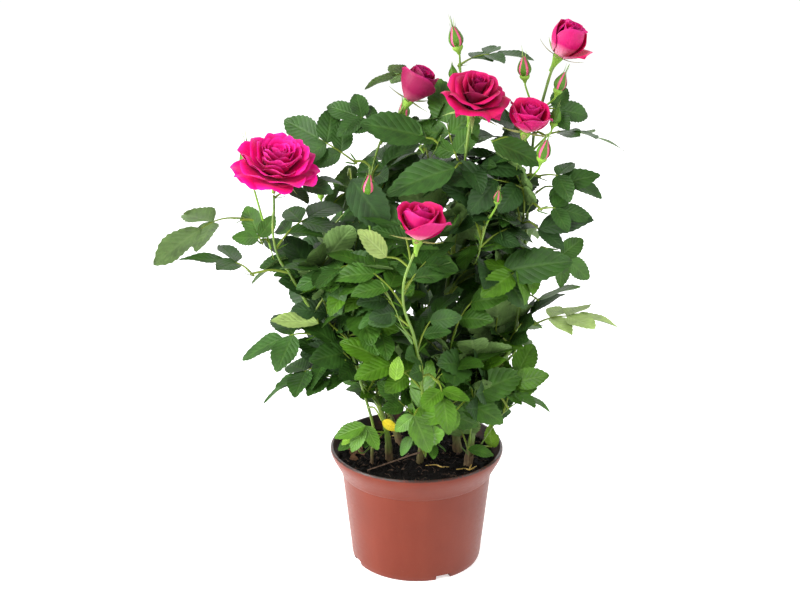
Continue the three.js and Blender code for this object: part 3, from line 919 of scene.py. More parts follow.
leaf_paints = [
    leaf_paint("leaf_deep", (0.013, 0.044, 0.006), (0.016, 0.052, 0.009), (0.045, 0.110, 0.02)),
    leaf_paint("leaf_dark", (0.021, 0.068, 0.006), (0.025, 0.078, 0.010), (0.070, 0.150, 0.02)),
    leaf_paint("leaf_green", (0.034, 0.102, 0.006), (0.040, 0.112, 0.010), (0.105, 0.200, 0.03)),
    leaf_paint("leaf_bright", (0.054, 0.145, 0.004), (0.062, 0.150, 0.007), (0.150, 0.280, 0.04), 0.50),
    leaf_paint("leaf_young", (0.135, 0.275, 0.014), (0.155, 0.265, 0.020), (0.270, 0.420, 0.08)),
    leaf_paint("leaf_yellowed", (0.500, 0.400, 0.010), (0.300, 0.300, 0.015), (0.600, 0.300, 0.03), 0.55),
    leaf_paint("leaf_underside", (0.095, 0.170, 0.042), (0.105, 0.180, 0.048), (0.190, 0.280, 0.10), 0.62),
    leaf_paint("leaf_pale_underside", (0.27, 0.38, 0.105), (0.28, 0.39, 0.12), (0.36, 0.46, 0.19), 0.62),
    leaf_paint("leaf_stalk", (0.140, 0.200, 0.018), (0.140, 0.200, 0.018), (0.140, 0.200, 0.018), 0.5),
]
DEEP, DARK, GREEN, BRIGHT, YOUNG, YELLOWED, UNDERSIDE, PALE, STALK = range(len(leaf_paints))


LEAF_THICK = 0.22 * MM
LONG_TOOTH, NOTCH, TOOTH_HOOK = 1.035, 0.955, 0.020
RIPPLE = 0.035


def leaflet(blades, base, way, up, length, width, paint, under, bend, fold, twist, luck=chance):
    """One toothed leaflet from its base along a way, folded a little up at its midrib."""
    t = ALONG[:, None]
    s = ACROSS[None, :]
    rank = np.arange(len(ALONG))[:, None]
    at_rim = np.abs(s) > 0.9
    tooth = np.where(rank % 2 == 1, LONG_TOOTH, NOTCH)
    tooth = np.where((rank < 1) | (rank > len(ALONG) - 2), 1.0, tooth)
    half = np.interp(t, OUTLINE_AT, OUTLINE) * width / 2
    x = s * half * np.where(at_rim, tooth, 1.0)
    ahead = t + np.where(at_rim & (rank % 2 == 1) & (rank < len(ALONG) - 1), TOOTH_HOOK, 0.0)
    wobble = luck.uniform(0, 6.3)
    y = length * np.where(abs(bend) > 1e-3, np.sin(bend * ahead) / (bend + 1e-9), ahead)
    z = -length * (1 - np.cos(bend * ahead)) / (abs(bend) + 1e-9) * np.sign(bend)
    lift = fold * np.abs(x) - 0.3 * fold * x * x / (width / 2 + 1e-9)
    ripple = RIPPLE * width * np.sin(ahead * 8.5 + wobble + np.sign(s) * 0.9) * np.abs(s) ** 2
    z = z + lift + ripple + twist * x * ahead
    way = way.normalized()
    side = way.cross(up).normalized()
    axes = np.array([tuple(side), tuple(way), tuple(side.cross(way))])
    local = np.stack(np.broadcast_arrays(x + 0 * y, y, z), 2)
    blades.add(local @ axes + np.array(tuple(base)), LEAF_THICK, paint, under, (ACROSS + 1) / 2, ALONG)


# ---- the dead leaves -----------------------------------------------------------------------
# Scraps of dead leaf, brown, dry and curled, that have gathered on the peat behind the left
# canes. Each is a small leaflet bent and folded further than a live one.
SCRAPS = 26
scatter = random.Random(31)
dead_brown = (0.105, 0.050, 0.022)
scrap_paint = leaf_paint("dead_leaf", dead_brown, (0.070, 0.032, 0.015), (0.150, 0.085, 0.04), 0.8)
scraps = Blades()
for _ in range(SCRAPS):
    turn, reach = math.radians(scatter.uniform(135, 190)), scatter.uniform(0.62, 0.97) * SOIL_EDGE
    x, y = reach * math.cos(turn), reach * math.sin(turn)
    heading = scatter.uniform(0, 2 * math.pi)
    way = Vector((math.cos(heading), math.sin(heading), scatter.uniform(-0.1, 0.7)))
    up = Vector((scatter.gauss(0, 0.6), scatter.gauss(0, 0.6), 1)).normalized()
    length = scatter.uniform(5, 11) * MM
    base = Vector((x, y, soil_height(x, y) + scatter.uniform(0.5, 3) * MM))
    leaflet(
        scraps, base, way, up, length, length * 0.6, 0, 0,
        scatter.uniform(0.6, 2.0), scatter.uniform(0.4, 1.4), scatter.uniform(-0.8, 0.8), scatter,
    )
dead_scraps = scraps.piece("dead_leaf_scraps", [scrap_paint])

# ---- the crown -----------------------------------------------------------------------------
# Compound leaves, three or five leaflets on a stalk with two small ears at its foot. They grow
# from every cane and shoot, and fill the plant's outline from all sides.


def tilt(vector, about, angle):
    """A direction turned by an angle about an axis square to it."""
    return (vector * math.cos(angle) + about.cross(vector) * math.sin(angle)).normalized()


def square_to(up, way):
    """An upward direction, made square to a way."""
    return (up - way * up.dot(way)).normalized()


def rose_leaf(blades, base, tip, up, paint, pairs=2, size=1.0, arch=0.10, calm=1.0):
    """A compound leaf from its base on a stem to the tip of its end leaflet."""
    span = (tip - base).length
    way = (tip - base).normalized()
    side = way.cross(up).normalized()
    up = side.cross(way)
    end_length = min(39 * MM, max(23 * MM, span * (0.50 if pairs > 1 else 0.60))) * size
    stalk = max(4 * MM, span - end_length)
    rise = up * arch * span
    path = [base + way * stalk * k / 8 + rise * math.sin(math.pi * 0.9 * k / 8) * 0.6 for k in range(9)]
    blades.add_tube(path, [(0.75 - 0.35 * k / 8) * MM for k in range(9)], 5, STALK)
    end_way = (path[-1] - path[-2]).normalized()
    bend = chance.uniform(0.25, 0.75) * calm
    leaflet(
        blades, path[-1], tilt(end_way, side, -0.1 + bend * 0.4),
        tilt(up, way, chance.uniform(-0.25, 0.25) * calm), end_length,
        end_length * chance.uniform(0.55, 0.64), paint, UNDERSIDE, bend, chance.uniform(0.12, 0.4),
        chance.uniform(-0.3, 0.3),
    )
    for pair in range(pairs):
        place = 8 * ((0.80, 0.42)[pair] if pairs > 1 else 0.70)
        spot = path[int(place)].lerp(path[min(8, int(place) + 1)], place - int(place))
        length = end_length * (0.86 - 0.13 * pair) * chance.uniform(0.9, 1.06)
        for hand in (-1, 1):
            spread = chance.uniform(0.85, 1.2)
            out = way * math.cos(spread) + side * hand * math.sin(spread)
            out = tilt(out, way, hand * chance.uniform(-0.1, 0.35) * calm)
            facing = tilt(up, out, chance.uniform(-0.35, 0.35) * calm)
            leaflet(
                blades, spot, out, facing, length, length * chance.uniform(0.55, 0.65), paint, UNDERSIDE,
                chance.uniform(0.15, 0.7) * calm, chance.uniform(0.12, 0.45), chance.uniform(-0.3, 0.3),
            )
    for hand in (-1, 1):
        stipule(blades, base, way, side * hand, hand)


def stipule(blades, base, way, side, hand):
    """One of the two narrow green ears where a leaf's stalk meets the stem."""
    out = (way * 0.9 + side * 0.35).normalized()
    blade = np.array([[tuple(base + (out * length + side * wide) * MM) for wide in (0, 0.6, 1.2)]
                      for length in (0.5, 3, 6, 9)])
    blade[-1] = blade[-1].mean(0)
    blade[-1] += np.array([tuple(side * hand * k * 0.05 * MM) for k in (-1, 0, 1)])
    blades.add(blade[:, ::hand], 0.15 * MM, BRIGHT, UNDERSIDE, (0.2, 0.3, 0.4), (0, .3, .6, 1))


# Tints dealt to the leaves: dark over the crown, brighter towards the soil.
CROWN_TINTS = (DEEP, DARK, DARK, GREEN, DEEP, DARK, GREEN)
MIDDLE_TINTS = (DARK, GREEN, DARK, GREEN, DEEP, DARK, BRIGHT, GREEN)
LOW_TINTS = (GREEN, DARK, BRIGHT, GREEN, GREEN, BRIGHT)

# Single leaflets that show well, each from a joint to its tips, in millimetres from the middle
# of the mass that it belongs to: joint, tips, facing, tint of the top and of the underside.
FANS = {
    "soil_left": (
        ((2, -14, 18), ((-18, -15, 10), (10, -20, 4), (-7, -17, 1)), (-0.1, -0.5, 0.8), BRIGHT, UNDERSIDE),
        ((-4, -2, 8), ((-14, -6, 1), (-6, 8, 12)), (0, -0.5, 0.8), YOUNG, UNDERSIDE),
        ((13, -15, 22), ((23, -17, 16),), (0, -0.6, 0.6), YELLOWED, YELLOWED),
    ),
    "soil_front": (
        ((-8, -8, 25), ((-20, -7, 14), (2, -11, 1)), (0.1, -0.75, 0.6), BRIGHT, UNDERSIDE),
        ((20, -5, 28), ((-4, -6, 20), (16, -4, 12)), (0, -0.6, 0.75), BRIGHT, UNDERSIDE),
        ((29, 15, -9), ((46, 13, -13),), (0.2, -0.4, 0.8), GREEN, UNDERSIDE),
        ((46, 27, -13), ((45, 26, 4), (50, 24, -3)), (-0.4, -0.8, 0.3), YOUNG, YOUNG),
        ((-10, 2, 6), ((-16, -2, -6),), (-0.2, -0.6, 0.7), GREEN, UNDERSIDE),
    ),
    "heart_left": (
        ((2, -30, 29), ((-15, -31, 46),), (0.5, -0.8, 0.5), PALE, PALE),
    ),
    "shoulder_left": (
        ((41, -9, 38), ((0, -10, 47),), (-0.1, -0.65, 0.75), DARK, UNDERSIDE),
        ((-6, -35, 17), ((16, -36, -14),), (-0.3, -0.8, 0.5), DEEP, UNDERSIDE),
    ),
    "upper_middle": (
        ((15, -22, -4), ((-27, -24, -20),), (-0.1, -0.6, 0.8), DARK, UNDERSIDE),
    ),
    "upper_right": (
        ((-13, -25, 16), ((17, -26, 2),), (0.1, -0.65, 0.75), DARK, UNDERSIDE),
    ),
    "right_upper": (
        ((20, -8, 22), ((48, -12, 30), (24, -16, 6)), (0, -0.55, 0.8), DARK, UNDERSIDE),
        ((10, -14, -4), ((44, -18, 2), (26, -20, -16)), (-0.1, -0.5, 0.85), DEEP, UNDERSIDE),
    ),
    "right_flank": (
        ((-16, -22, 10), ((28, -26, 18), (0, -28, -12)), (-0.1, -0.7, 0.7), DARK, UNDERSIDE),
        ((10, -14, -12), ((36, -16, -2),), (0, 0.1, 1), BRIGHT, UNDERSIDE),
    ),
    "heart_low": (
        ((-34, -39, -9), ((-32, -40, 7),), (0, -1, 0.2), YOUNG, UNDERSIDE),
    ),
    "left_flank": (
        ((-5, -12, 0), ((-35, -13, 2),), (0, -0.25, 1), PALE, PALE),
    ),
}
# Long five-part leaves that reach past their mass: near which joint, and to which tip.
LONG_LEAVES = {
    "skirt_left": ((-3, -6, -1), (-60, -10, 4)),
    "left_inner": ((16, -26, -4), (-24, -30, -16)),
}


def fan(blades, middle, joint, tips, facing, tint, under):
    """A stalk from the nearest stem to a joint, and a leaflet from there to each tip."""
    joint = middle + Vector(joint) * MM
    route, i = skeleton_point(joint, among=routes, above=joint.z)
    start = route.path[i]
    sag = Vector((0, 0, (joint - start).length * 0.15))
    path = curve_through([start, start.lerp(joint, 0.5) + sag, joint], 3 * MM)
    blades.add_tube(path, [(0.8 - 0.3 * k / len(path)) * MM for k in range(len(path))], 5, STALK)
    for tip in tips:
        reach = middle + Vector(tip) * MM - joint
        way = reach.normalized()
        up = square_to(Vector(facing).normalized(), way)
        leaflet(
            blades, joint, tilt(way, way.cross(up).normalized(), 0.12), up, reach.length * 1.04,
            reach.length * chance.uniform(0.56, 0.64), tint, under, 0.25, 0.2, chance.uniform(-0.15, 0.15),
        )


def mass_tree(name):
    """The mass's solid, ready to be asked where a ray leaves it."""
    mesh = nodes[name].data
    mesh.calc_loop_triangles()
    return BVHTree.FromPolygons([v.co for v in mesh.vertices], [t.vertices for t in mesh.loop_triangles])


# Leaves for each mass by the size of its surface, fewer on the masses that show sky. Each starts
# from a stem at a fair reach and ends just inside the surface, on a spiral round the mass.
LEAF_AREA = 1150 * MM * MM
COVER = 0.90
OPEN_MASSES = {
    "right_flank": 0.55, "right_upper": 0.55, "right_low": 0.80, "left": 0.85,
    "left_inner": 0.9, "shoulder_left": 0.75,
}
GOLDEN_TURN = 2.39996
for mass in sorted(name.replace("foliage_", "") for name in nodes if name.startswith("foliage_")):
    low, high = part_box("foliage_" + mass)
    centre = (low + high) / 2
    size = high - low
    area = math.pi * (size.x * size.y + size.y * size.z + size.z * size.x) / 3
    count = max(2, round(COVER * OPEN_MASSES.get(mass, 1.0) * area / LEAF_AREA))
    if mass.startswith("soil"):
        count = 1
    tree = mass_tree("foliage_" + mass)
    blades = Blades()
    tints = CROWN_TINTS if centre.z > 0.24 else MIDDLE_TINTS if centre.z > 0.165 else LOW_TINTS
    turn = chance.uniform(0, 2 * math.pi)
    small = mass.startswith(("soil", "skirt"))
    for joint, tips, facing, tint, under in FANS.get(mass, ()):
        fan(blades, centre, joint, tips, facing, tint, under)
    if mass in LONG_LEAVES:
        foot, tip = (centre + Vector(end) * MM for end in LONG_LEAVES[mass])
        route, i = skeleton_point(foot, among=routes)
        rose_leaf(blades, route.path[i], tip, Vector((0, -0.2, 1)), DARK, arch=0.06, calm=0.5)
    for k in range(count):
        rise = 1 - 2 * (k + 0.5) / count
        rise = 0.25 + 0.75 * rise if small else 0.12 + 0.88 * rise
        round_at = turn + k * GOLDEN_TURN + chance.uniform(-0.3, 0.3)
        flat = math.sqrt(max(0.0, 1 - rise * rise))
        way = Vector((flat * math.cos(round_at) * size.x, flat * math.sin(round_at) * size.y, rise * size.z))
        way.normalize()
        tip = tree.ray_cast(centre, way)[0] or centre + way * size.x / 2
        tip = tip - way * chance.uniform(0.5, 4) * MM
        reach = chance.uniform(34, 48) * MM if small else chance.uniform(50, 78) * MM
        route, i = skeleton_point(tip, reach=reach, among=routes)
        base = route.path[i]
        up = Vector((0, -0.08, 1)) + way * 0.25
        up += Vector((chance.gauss(0, 0.30), chance.gauss(0, 0.35), chance.gauss(0, 0.1)))
        up = square_to(up, (tip - base).normalized())
        pairs = 1 if (tip - base).length < 42 * MM else 2
        rose_leaf(blades, base, tip, up, chance.choice(tints), pairs, 0.8 if small else 1.0)
    made = blades.piece("leaves_" + mass, leaf_paints)
    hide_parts("foliage_" + mass)

# ---- the outer leaves ----------------------------------------------------------------------
# The leaves that stand out past the crown: each follows its own thin solid, foot to tip. For
# each: its tint, its pairs of leaflets, and which way it faces if not as its solid does.
LEVEL, FACING = (0, -0.1, 1), (0, -0.5, 1)
SPRAYS = {
    "far_left": (DARK, 1, None),
    "left": (DARK, 1, LEVEL),
    "rose_stem": (GREEN, 1, None),
    "left_top": (DARK, 2, None),
    "upper_left": (DARK, 2, None),
    "top_left": (GREEN, 1, None),
    "top": (DARK, 2, LEVEL),
    "shoulder": (DARK, 1, None),
    "right_upper": (DARK, 2, (0, 0.12, 1)),
    "right": (DARK, 1, FACING),
    "right_middle": (DARK, 1, None),
    "right_hanging": (GREEN, 1, None),
    "right_low": (PALE, 2, LEVEL),
    "low_right": (GREEN, 2, LEVEL),
    "low_left": (DARK, 1, FACING),
    "bottom_left": (DARK, 2, LEVEL),
    "front": (BRIGHT, 1, None),
    "back_left": (DARK, 2, None),
    "back_right": (GREEN, 2, None),
    "back_top": (DARK, 2, None),
}


def stem_gap(place):
    route, i = skeleton_point(place, among=routes)
    return (route.path[i] - place).length


for spray, (tint, pairs, facing) in SPRAYS.items():
    points = np.array([v.co for v in nodes["spray_" + spray].data.vertices], float)
    centre = points.mean(0)
    turned = np.linalg.eigh(np.cov((points - centre).T))[1]
    axis, normal = Vector(turned[:, 2]), Vector(turned[:, 0])
    reach = (points - centre) @ np.array(axis)
    foot, tip = sorted((Vector(centre) + axis * end for end in (reach.min(), reach.max())), key=stem_gap)
    route, i = skeleton_point(foot, among=routes, above=foot.z) or skeleton_point(foot, among=routes)
    base = route.path[i]
    if facing is not None:
        normal = Vector(facing).normalized()
    elif normal.z < 0:
        normal = -normal
    blades = Blades()
    if (base - foot).length > 6 * MM:
        arched = base.lerp(foot, 0.5) + Vector((0, 0, 3 * MM))
        path = curve_through([base, arched, foot + (tip - foot).normalized() * 3 * MM], 3 * MM)
        blades.add_tube(path, [0.85 * MM] * len(path), 6, STALK)
    rose_leaf(blades, foot, tip, normal, tint, pairs, calm=0.45)
    made = blades.piece("leaves_spray_" + spray, leaf_paints)
    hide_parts("spray_" + spray)


# ---- the blooms ----------------------------------------------------------------------------
# Double miniature roses in magenta, some in darker and redder copies of it that are painted shade, from
# pointed and half open ones to a full rosette. Velvety petals, paler on the back and at the claw, wrap in a
# spiral on a green hip.
PETAL_ALONG = np.linspace(0, 1, 11)
PETAL_ACROSS = np.linspace(-1, 1, 9)
PETAL_THICK = 0.3 * MM
chance = random.Random(5)

# The petal's clouded length, from its claw to its lip, and fine grain fanning out along it.
petal_grain = Pattern(
    "petal_grain", {"Place": "Vector", "UV": "Vector"},
    {"Length": "Float", "Fan": "Float", "Cloud": "Float"},
)
uv = petal_grain.given["UV"]
split = petal_grain.node("ShaderNodeSeparateXYZ", Vector=uv)
cloud = petal_grain.noise(petal_grain.given["Place"], 160, 3)
drift = petal_grain.math("MULTIPLY", petal_grain.math("SUBTRACT", cloud, 0.5), 0.16)
stretched = petal_grain.node("ShaderNodeMapping", Vector=uv, Scale=(26, 1.6, 1))
petal_grain.put_out(
    Length=petal_grain.math("ADD", split.outputs["Y"], drift), Cloud=cloud,
    Fan=petal_grain.noise(stretched.outputs["Vector"], 1.0, 3),
)


def petal_paint(name, heart, body, rim, gloss):
    """A petal's face or back: its colour at the claw, over the blade, and at the lip."""
    paint = Paint(
        name, body, gloss, Sheen_Weight=0.04, Sheen_Roughness=0.4, Subsurface_Weight=0.10,
        Subsurface_Radius=(0.004, 0.001, 0.002), Subsurface_Scale=0.5, Specular_IOR_Level=0.22,
    )
    grain = petal_grain.on(paint, Place=paint.place(), UV=paint.node("ShaderNodeUVMap").outputs["UV"])
    tone = paint.ramp(grain["Length"], (0.10, heart), (0.42, body), (0.86, body), (1.0, rim))
    shade = tuple(c * 0.72 for c in body)
    tone = paint.blend(paint.ramp(grain["Fan"], (0.48, (0,)), (0.75, (0.45,))), tone, shade)
    paint.cover("Base_Color", tone)
    paint.cover("Roughness", paint.ramp(grain["Cloud"], (0.3, (gloss - 0.06,)), (0.7, (gloss + 0.08,))))
    paint.bump(grain["Fan"], 0.25, 0.0004)
    return paint


# The second and third pairs below are the magenta made darker and redder, as painted shade on the blooms
# that wear them.
petal_paints = [
    petal_paint("magenta_face", (0.86, 0.030, 0.19), (0.86, 0.001, 0.210), (0.90, 0.012, 0.33), 0.60),
    petal_paint("magenta_back", (0.74, 0.300, 0.42), (0.52, 0.004, 0.150), (0.66, 0.030, 0.28), 0.55),
    petal_paint("crimson_face", (0.56, 0.020, 0.08), (0.50, 0.000, 0.066), (0.58, 0.003, 0.120), 0.60),
    petal_paint("crimson_back", (0.33, 0.055, 0.11), (0.210, 0.001, 0.046), (0.29, 0.004, 0.076), 0.55),
    petal_paint("rose_face", (0.64, 0.030, 0.12), (0.60, 0.000, 0.085), (0.66, 0.006, 0.140), 0.60),
    petal_paint("rose_back", (0.72, 0.270, 0.37), (0.43, 0.002, 0.102), (0.52, 0.010, 0.160), 0.55),
    petal_paint("bud_pink", (0.70, 0.420, 0.42), (0.58, 0.100, 0.190), (0.66, 0.200, 0.280), 0.55),
    *leaf_paints,
]
MAGENTA, MAGENTA_IN_DEEP_SHADE, MAGENTA_IN_SHADE, BUD_PINK = 0, 2, 4, 6
CALYX, CALYX_UNDER, CALYX_LIGHT = 7 + BRIGHT, 7 + PALE, 7 + YOUNG


def petal(turn, start, length, half, lean, tip_lean, lip, ruffle, overlap, flatten, pinch):
    """One petal round an upright axis: a broad blade that leans out and curls as it rises."""
    t = PETAL_ALONG[:, None]
    s = PETAL_ACROSS[None, :]
    height = t * (1 - 0.20 * np.abs(s) ** 3.2)
    fine = np.linspace(0, 1.02, 90)
    angles = lean + (tip_lean - lean) * fine ** 1.4 + lip * np.clip((fine - 0.74) / 0.26, 0, 1) ** 2
    out = start[0] + np.concatenate([[0], np.cumsum(np.sin(angles[:-1]) * np.diff(fine))]) * length
    rise = start[1] + np.concatenate([[0], np.cumsum(np.cos(angles[:-1]) * np.diff(fine))]) * length
    radius = np.interp(height, fine, out)
    z = np.interp(height, fine, rise)
    wide = half * np.interp(t, (0, .12, .35, .6, .85, 1), (.26, .50, .86, 1, .98, .84))
    bow = np.maximum(radius, 1.5 * MM) * (1 + flatten * t)
    angle = s * wide / bow
    wave = chance.uniform(0, 6.3)
    edge = np.abs(s) ** 1.5
    curl = pinch * half * np.abs(s) ** 3 * t ** 4
    inward = radius - bow * (1 - np.cos(angle))
    inward = inward + overlap * s * (0.3 + t) + curl
    inward = inward + ruffle * t ** 3 * np.sin(3.4 * s + wave) * (0.3 + edge)
    sideways = bow * np.sin(angle)
    z = z + ruffle * 0.8 * t ** 3 * np.cos(4.2 * s + wave * 1.7) - 0.5 * curl
    x = inward * math.cos(turn) - sideways * math.sin(turn)
    y = inward * math.sin(turn) + sideways * math.cos(turn)
    return np.stack([x, y, z], 2)


def ease(ends, share, power=1.0):
    return ends[0] + (ends[1] - ends[0]) * share ** power


# How each stage of bloom goes from its innermost petal to its outermost: lengths and half
# widths in millimetres, then the lean at the claw, at the tip and in the lip, in degrees.
STYLES = {
    "rosette": dict(
        count=60, length=(9, 25), half=(4.0, 12.5), lean=(0, 80), tip=(-30, 78), lip=(8, 16),
        ruffle=(0.4, 1.6), flatten=(0, 0.7), pinch=(0, 0.0), sepals=(1.5, 2.2),
    ),
    "high": dict(
        count=24, length=(21, 25), half=(7, 15), lean=(1, 50), tip=(-14, 84), lip=(0, 60),
        ruffle=(0.2, 1.2), flatten=(0, 0.9), pinch=(0, 0.40), sepals=(1.6, 2.0),
    ),
    "half": dict(
        count=17, length=(17, 21), half=(6.5, 14), lean=(4, 52), tip=(-22, 8), lip=(0, 44),
        ruffle=(0.2, 1.0), flatten=(0, 0.4), pinch=(0, 0.25), sepals=(1.45, 1.1),
    ),
    "teardrop": dict(
        count=13, length=(21, 23), half=(6.0, 12.5), lean=(3, 26), tip=(-26, -20), lip=(0, 26),
        ruffle=(0.15, 0.7), flatten=(0, 0.15), pinch=(0, 0.15), sepals=(1.5, 1.1),
    ),
}
HIP_TALL = 4.5 * MM
HIP_RADIUS = 3.6 * MM
SEPAL_LENGTH = 16 * MM
SEPAL_HALF = 1.7 * MM
SEPAL_THICK = 0.2 * MM


def bloom(name, node, foot, style, paint, spread=1.0, loose=None, lift=0.0):
    """A flower as tall and wide as its solid, turned on a spiral, with one loose petal if asked."""
    corners = np.array([tuple(v.co) for v in nodes[node].data.vertices], float)
    axis = (middle_of(node) - foot).normalized()
    foot = foot + Vector((0, 0, lift))
    corners[:, 2] += lift
    upright = np.array(tuple(axis))
    rest = corners - np.array(tuple(foot))
    along = rest @ upright
    cad_tall = along.max()
    cad_wide = spread * np.percentile(np.linalg.norm(rest - along[:, None] * upright, axis=1), 97)
    side = axis.orthogonal().normalized()
    shape = STYLES[style]
    count = shape["count"]
    petals = []
    for k in range(count):
        share = k / (count - 1)
        slack = chance.uniform(-6, 6) * share
        turn = k * GOLDEN_TURN + chance.uniform(-0.25, 0.25)
        smaller = 1.0
        if loose is not None and k == count - 1:
            turn = math.atan2(Vector(loose).dot(axis.cross(side)), Vector(loose).dot(side))
            slack, smaller = 16, 0.62
        petals.append(petal(
            turn,
            (ease((0.4, 2.4), share) * MM, ease((2.5, 0.0), share) * MM),
            ease(shape["length"], share, 0.8) * smaller * MM * chance.uniform(0.94, 1.05),
            ease(shape["half"], share, 0.8) * smaller * MM * chance.uniform(0.92, 1.06),
            math.radians(ease(shape["lean"], share, 1.1) + slack),
            math.radians(ease(shape["tip"], share, 1.1) + 1.6 * slack),
            math.radians(ease(shape["lip"], share, 1.2) * chance.uniform(0.4, 1.5)),
            ease(shape["ruffle"], share) * MM, chance.choice((-1, 1)) * ease((0.25, 0.9), share) * MM,
            ease(shape["flatten"], share), ease(shape["pinch"], share) * chance.uniform(0.4, 1.6),
        ))
    snug = petals if loose is None else petals[:-1]
    reach = np.percentile(np.concatenate([np.hypot(g[..., 0], g[..., 1]).ravel() for g in snug]), 99.3)
    tall = max(g[..., 2].max() for g in petals)
    stretch = np.array([cad_wide / reach, cad_wide / reach, (cad_tall - HIP_TALL) / tall])
    rows = np.array([tuple(side), tuple(axis.cross(side)), tuple(axis)])
    blades = Blades()
    for grid in petals:
        grid = grid * stretch + np.array([0, 0, HIP_TALL])
        grid = grid @ rows + np.array(tuple(foot))
        blades.add(grid, PETAL_THICK, paint + 1, paint, (PETAL_ACROSS + 1) / 2, PETAL_ALONG)
    calyx(blades, foot, axis, shape["sepals"])
    made = blades.piece(name, petal_paints, 70)
    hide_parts(node)


def calyx(blades, foot, axis, leans):
    """The green hip under a flower, and its five long sepals."""
    rounds = ((-1.6, 0.36), (-0.8, 0.42), (-0.2, 0.58), (0.3, 0.82), (0.7, 1.0), (0.95, 1.0), (1.1, 0.8))
    path = [foot + axis * HIP_TALL * at for at, wide in rounds]
    blades.add_tube(path, [HIP_RADIUS * wide for at, wide in rounds], 12, CALYX_LIGHT)
    side = axis.orthogonal().normalized()
    for k in range(5):
        turn = 2 * math.pi * k / 5 + chance.uniform(-0.2, 0.2)
        out = math.cos(turn) * side + math.sin(turn) * axis.cross(side)
        across = axis.cross(out)
        reach = SEPAL_LENGTH * chance.uniform(0.8, 1.15)
        stray = chance.uniform(-0.25, 0.25)
        spot = foot + axis * HIP_TALL * 0.90 + out * HIP_RADIUS * 0.86
        rows = []
        for i in range(8):
            t = i / 7
            angle = leans[0] + (leans[1] - leans[0]) * t + stray * (0.3 + t)
            wide = SEPAL_HALF * np.interp(t, (0, .2, .5, .8, 1), (.8, 1, .62, .22, .05))
            rows.append([tuple(spot + across * wide * s + out * abs(s) * wide * 0.3) for s in (-1, 0, 1)])
            spot = spot + (out * math.sin(angle) + axis * math.cos(angle)) * reach / 7
        blades.add(np.array(rows), SEPAL_THICK, CALYX, CALYX_UNDER, (0.2, 0.35, 0.5), np.linspace(0, 1, 8))


def limb_end(cane):
    """The top of the stem at the end of a cane, where its bloom sits."""
    stem = cane_routes[cane][-1]
    middle = centreline(stem)[0]
    way = (middle[-1] - middle[-2]).normalized()
    return middle[-1] + way * (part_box(stem)[1].z - middle[-1].z) / way.z * 0.85


# Every bloom but the left one wears a darker copy of the magenta, as painted shade.
bloom("bloom_left", "rose_left", limb_end("left_cane"), "rosette", MAGENTA, 0.92, lift=5 * MM)
bloom("bloom_front", "rose_front", limb_end("front_cane"), "half", MAGENTA_IN_SHADE)
bloom("bloom_top", "rose_top", limb_end("middle_cane"), "high", MAGENTA_IN_DEEP_SHADE, 0.90)
bloom("bloom_peak", "rose_peak", limb_end("right_cane"), "teardrop", MAGENTA_IN_SHADE, 0.85, (1, -0.3, 0))
bloom("bloom_upper_left", "rose_upper_left", limb_end("back_left_cane"), "teardrop", MAGENTA_IN_DEEP_SHADE, 0.95)
bloom("bloom_right", "rose_right", rose_right_foot, "half", MAGENTA_IN_SHADE)

# ---- the buds ------------------------------------------------------------------------------
# Pointed buds on thin stalks, still wrapped in their sepals. The older ones show a stripe of
# pink between the sepals, and the youngest are all green.
bud_blades = Blades()
stalk_blades = Blades()
BUD_SEPAL_THICK = 0.18 * MM
BUD_HIP = ((-0.10, 0.22), (0, 0.34), (0.08, 0.62), (0.17, 0.76), (0.24, 0.66))
BUD = (
    (0.20, 0.55), (0.30, 0.84), (0.42, 1.0), (0.55, 0.96),
    (0.70, 0.74), (0.84, 0.44), (0.95, 0.20), (1.0, 0.06),
)


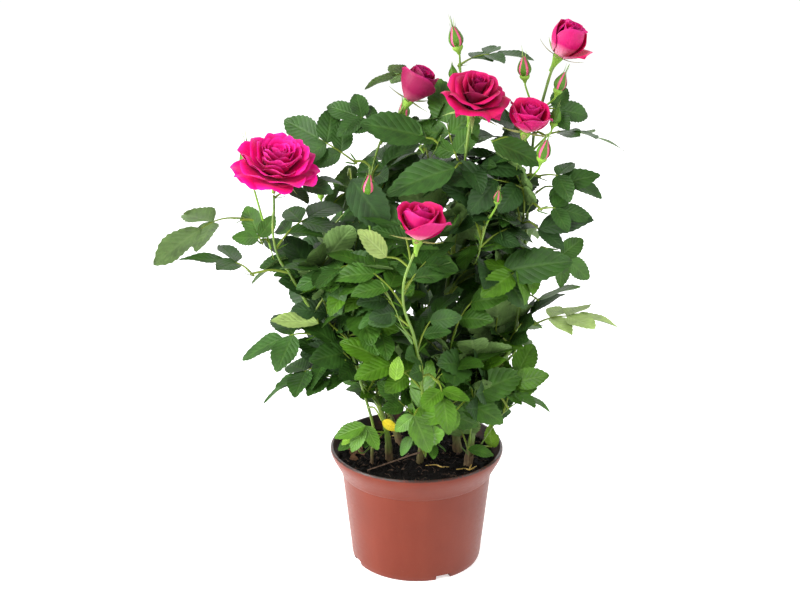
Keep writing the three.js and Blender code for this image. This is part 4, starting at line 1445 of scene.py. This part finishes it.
def bud(near, offset, lean, length, pink, drop):
    """A bud at an offset from a node, on a stalk from a stem that is at least a drop lower."""
    foot = middle_of(near) + Vector(offset) * MM
    axis = Vector(lean).normalized()
    route, i = skeleton_point(foot, among=routes, above=foot.z - drop)
    start = route.path[i]
    gap = (foot - start).length
    bend = start.lerp(foot, 0.5) - axis * gap * 0.06
    path = curve_through([start, bend, foot - axis * gap * 0.12, foot], 2.5 * MM)
    stalk_blades.add_tube(path, [(0.8 - 0.2 * k / len(path)) * MM for k in range(len(path))], 7, CALYX_LIGHT)
    radius = length * 0.285

    def turned(profile, thinner, sides, paint):
        path = [foot + axis * length * at for at, wide in profile]
        bud_blades.add_tube(path, [radius * wide * thinner for at, wide in profile], sides, paint)

    turned(BUD_HIP, 1.0, 10, CALYX_LIGHT)
    turned(BUD, 0.92, 12, BUD_PINK if pink else CALYX)
    side = axis.orthogonal().normalized()
    first = chance.uniform(0, 6.3)
    for k in range(5):
        rows = []
        curl = chance.uniform(0.02, 0.16) + (0.12 if pink else 0.0)
        reach = chance.uniform(1.15, 1.45)
        for t in np.linspace(0, 1, 9):
            at = 0.2 + (reach - 0.2) * t
            snug = np.interp(at, *zip(*BUD))
            out_by = radius * snug * 1.03 + length * curl * max(0.0, t - 0.35) ** 1.6
            span = (0.42 if pink else 0.60) * np.interp(t, (0, .25, .5, .75, 1), (1, 1.02, 0.86, 0.5, 0.1))
            wide = min(span, 1.2 * MM / max(out_by, 0.3 * MM)) if t > 0.7 else span
            row = []
            for s in (-1, 0, 1):
                turn = first + 2 * math.pi * k / 5 + s * wide
                out = math.cos(turn) * side + math.sin(turn) * axis.cross(side)
                row.append(tuple(foot + axis * length * at + out * out_by))
            rows.append(row)
        rows = np.array(rows)
        bud_blades.add(rows, BUD_SEPAL_THICK, CALYX, CALYX_UNDER, (0.2, 0.35, 0.5), np.linspace(0, 1, 9))


for near, offset, lean, length, pink, drop in (
    ("spray_top", (-25, -12, 5), (-0.25, -0.1, 1), 17, True, 12),
    ("spray_top", (-28, -14, -14), (-0.1, -0.1, 1), 11, False, 10),
    ("spray_top", (17, -20, -12), (-0.1, -0.2, 1), 16, True, 24),
    ("spray_shoulder", (-9, -4, 10), (0.35, -0.1, 1), 15, True, 14),
    ("foliage_shoulder_left", (4, -32, 4), (0.1, -0.3, 1), 17, True, 26),
    ("foliage_upper_right", (17, -30, 4), (0.2, -0.3, 1), 16, True, 22),
    ("foliage_upper_right", (-10, -33, -22), (0.1, -0.3, 1), 10, True, 14),
    ("spray_shoulder", (-11, -8, -10), (0.25, -0.1, 1), 13, False, 18),
    ("rose_left", (-19, 14, -8), (-0.15, 0.2, 1), 21, True, 52),
    ("foliage_back_top", (-14, 22, 24), (-0.1, 0.3, 1), 15, True, 20),
    ("foliage_back_right", (16, 26, 34), (0.2, 0.3, 1), 14, True, 20),
    ("foliage_back_left", (-8, 24, 33), (-0.1, 0.3, 1), 12, False, 20),
):
    bud(near, offset, lean, length * MM, pink, drop * MM)
buds = bud_blades.piece("buds", petal_paints, 60)
bud_stalks = stalk_blades.piece("bud_stalks", petal_paints, 60)
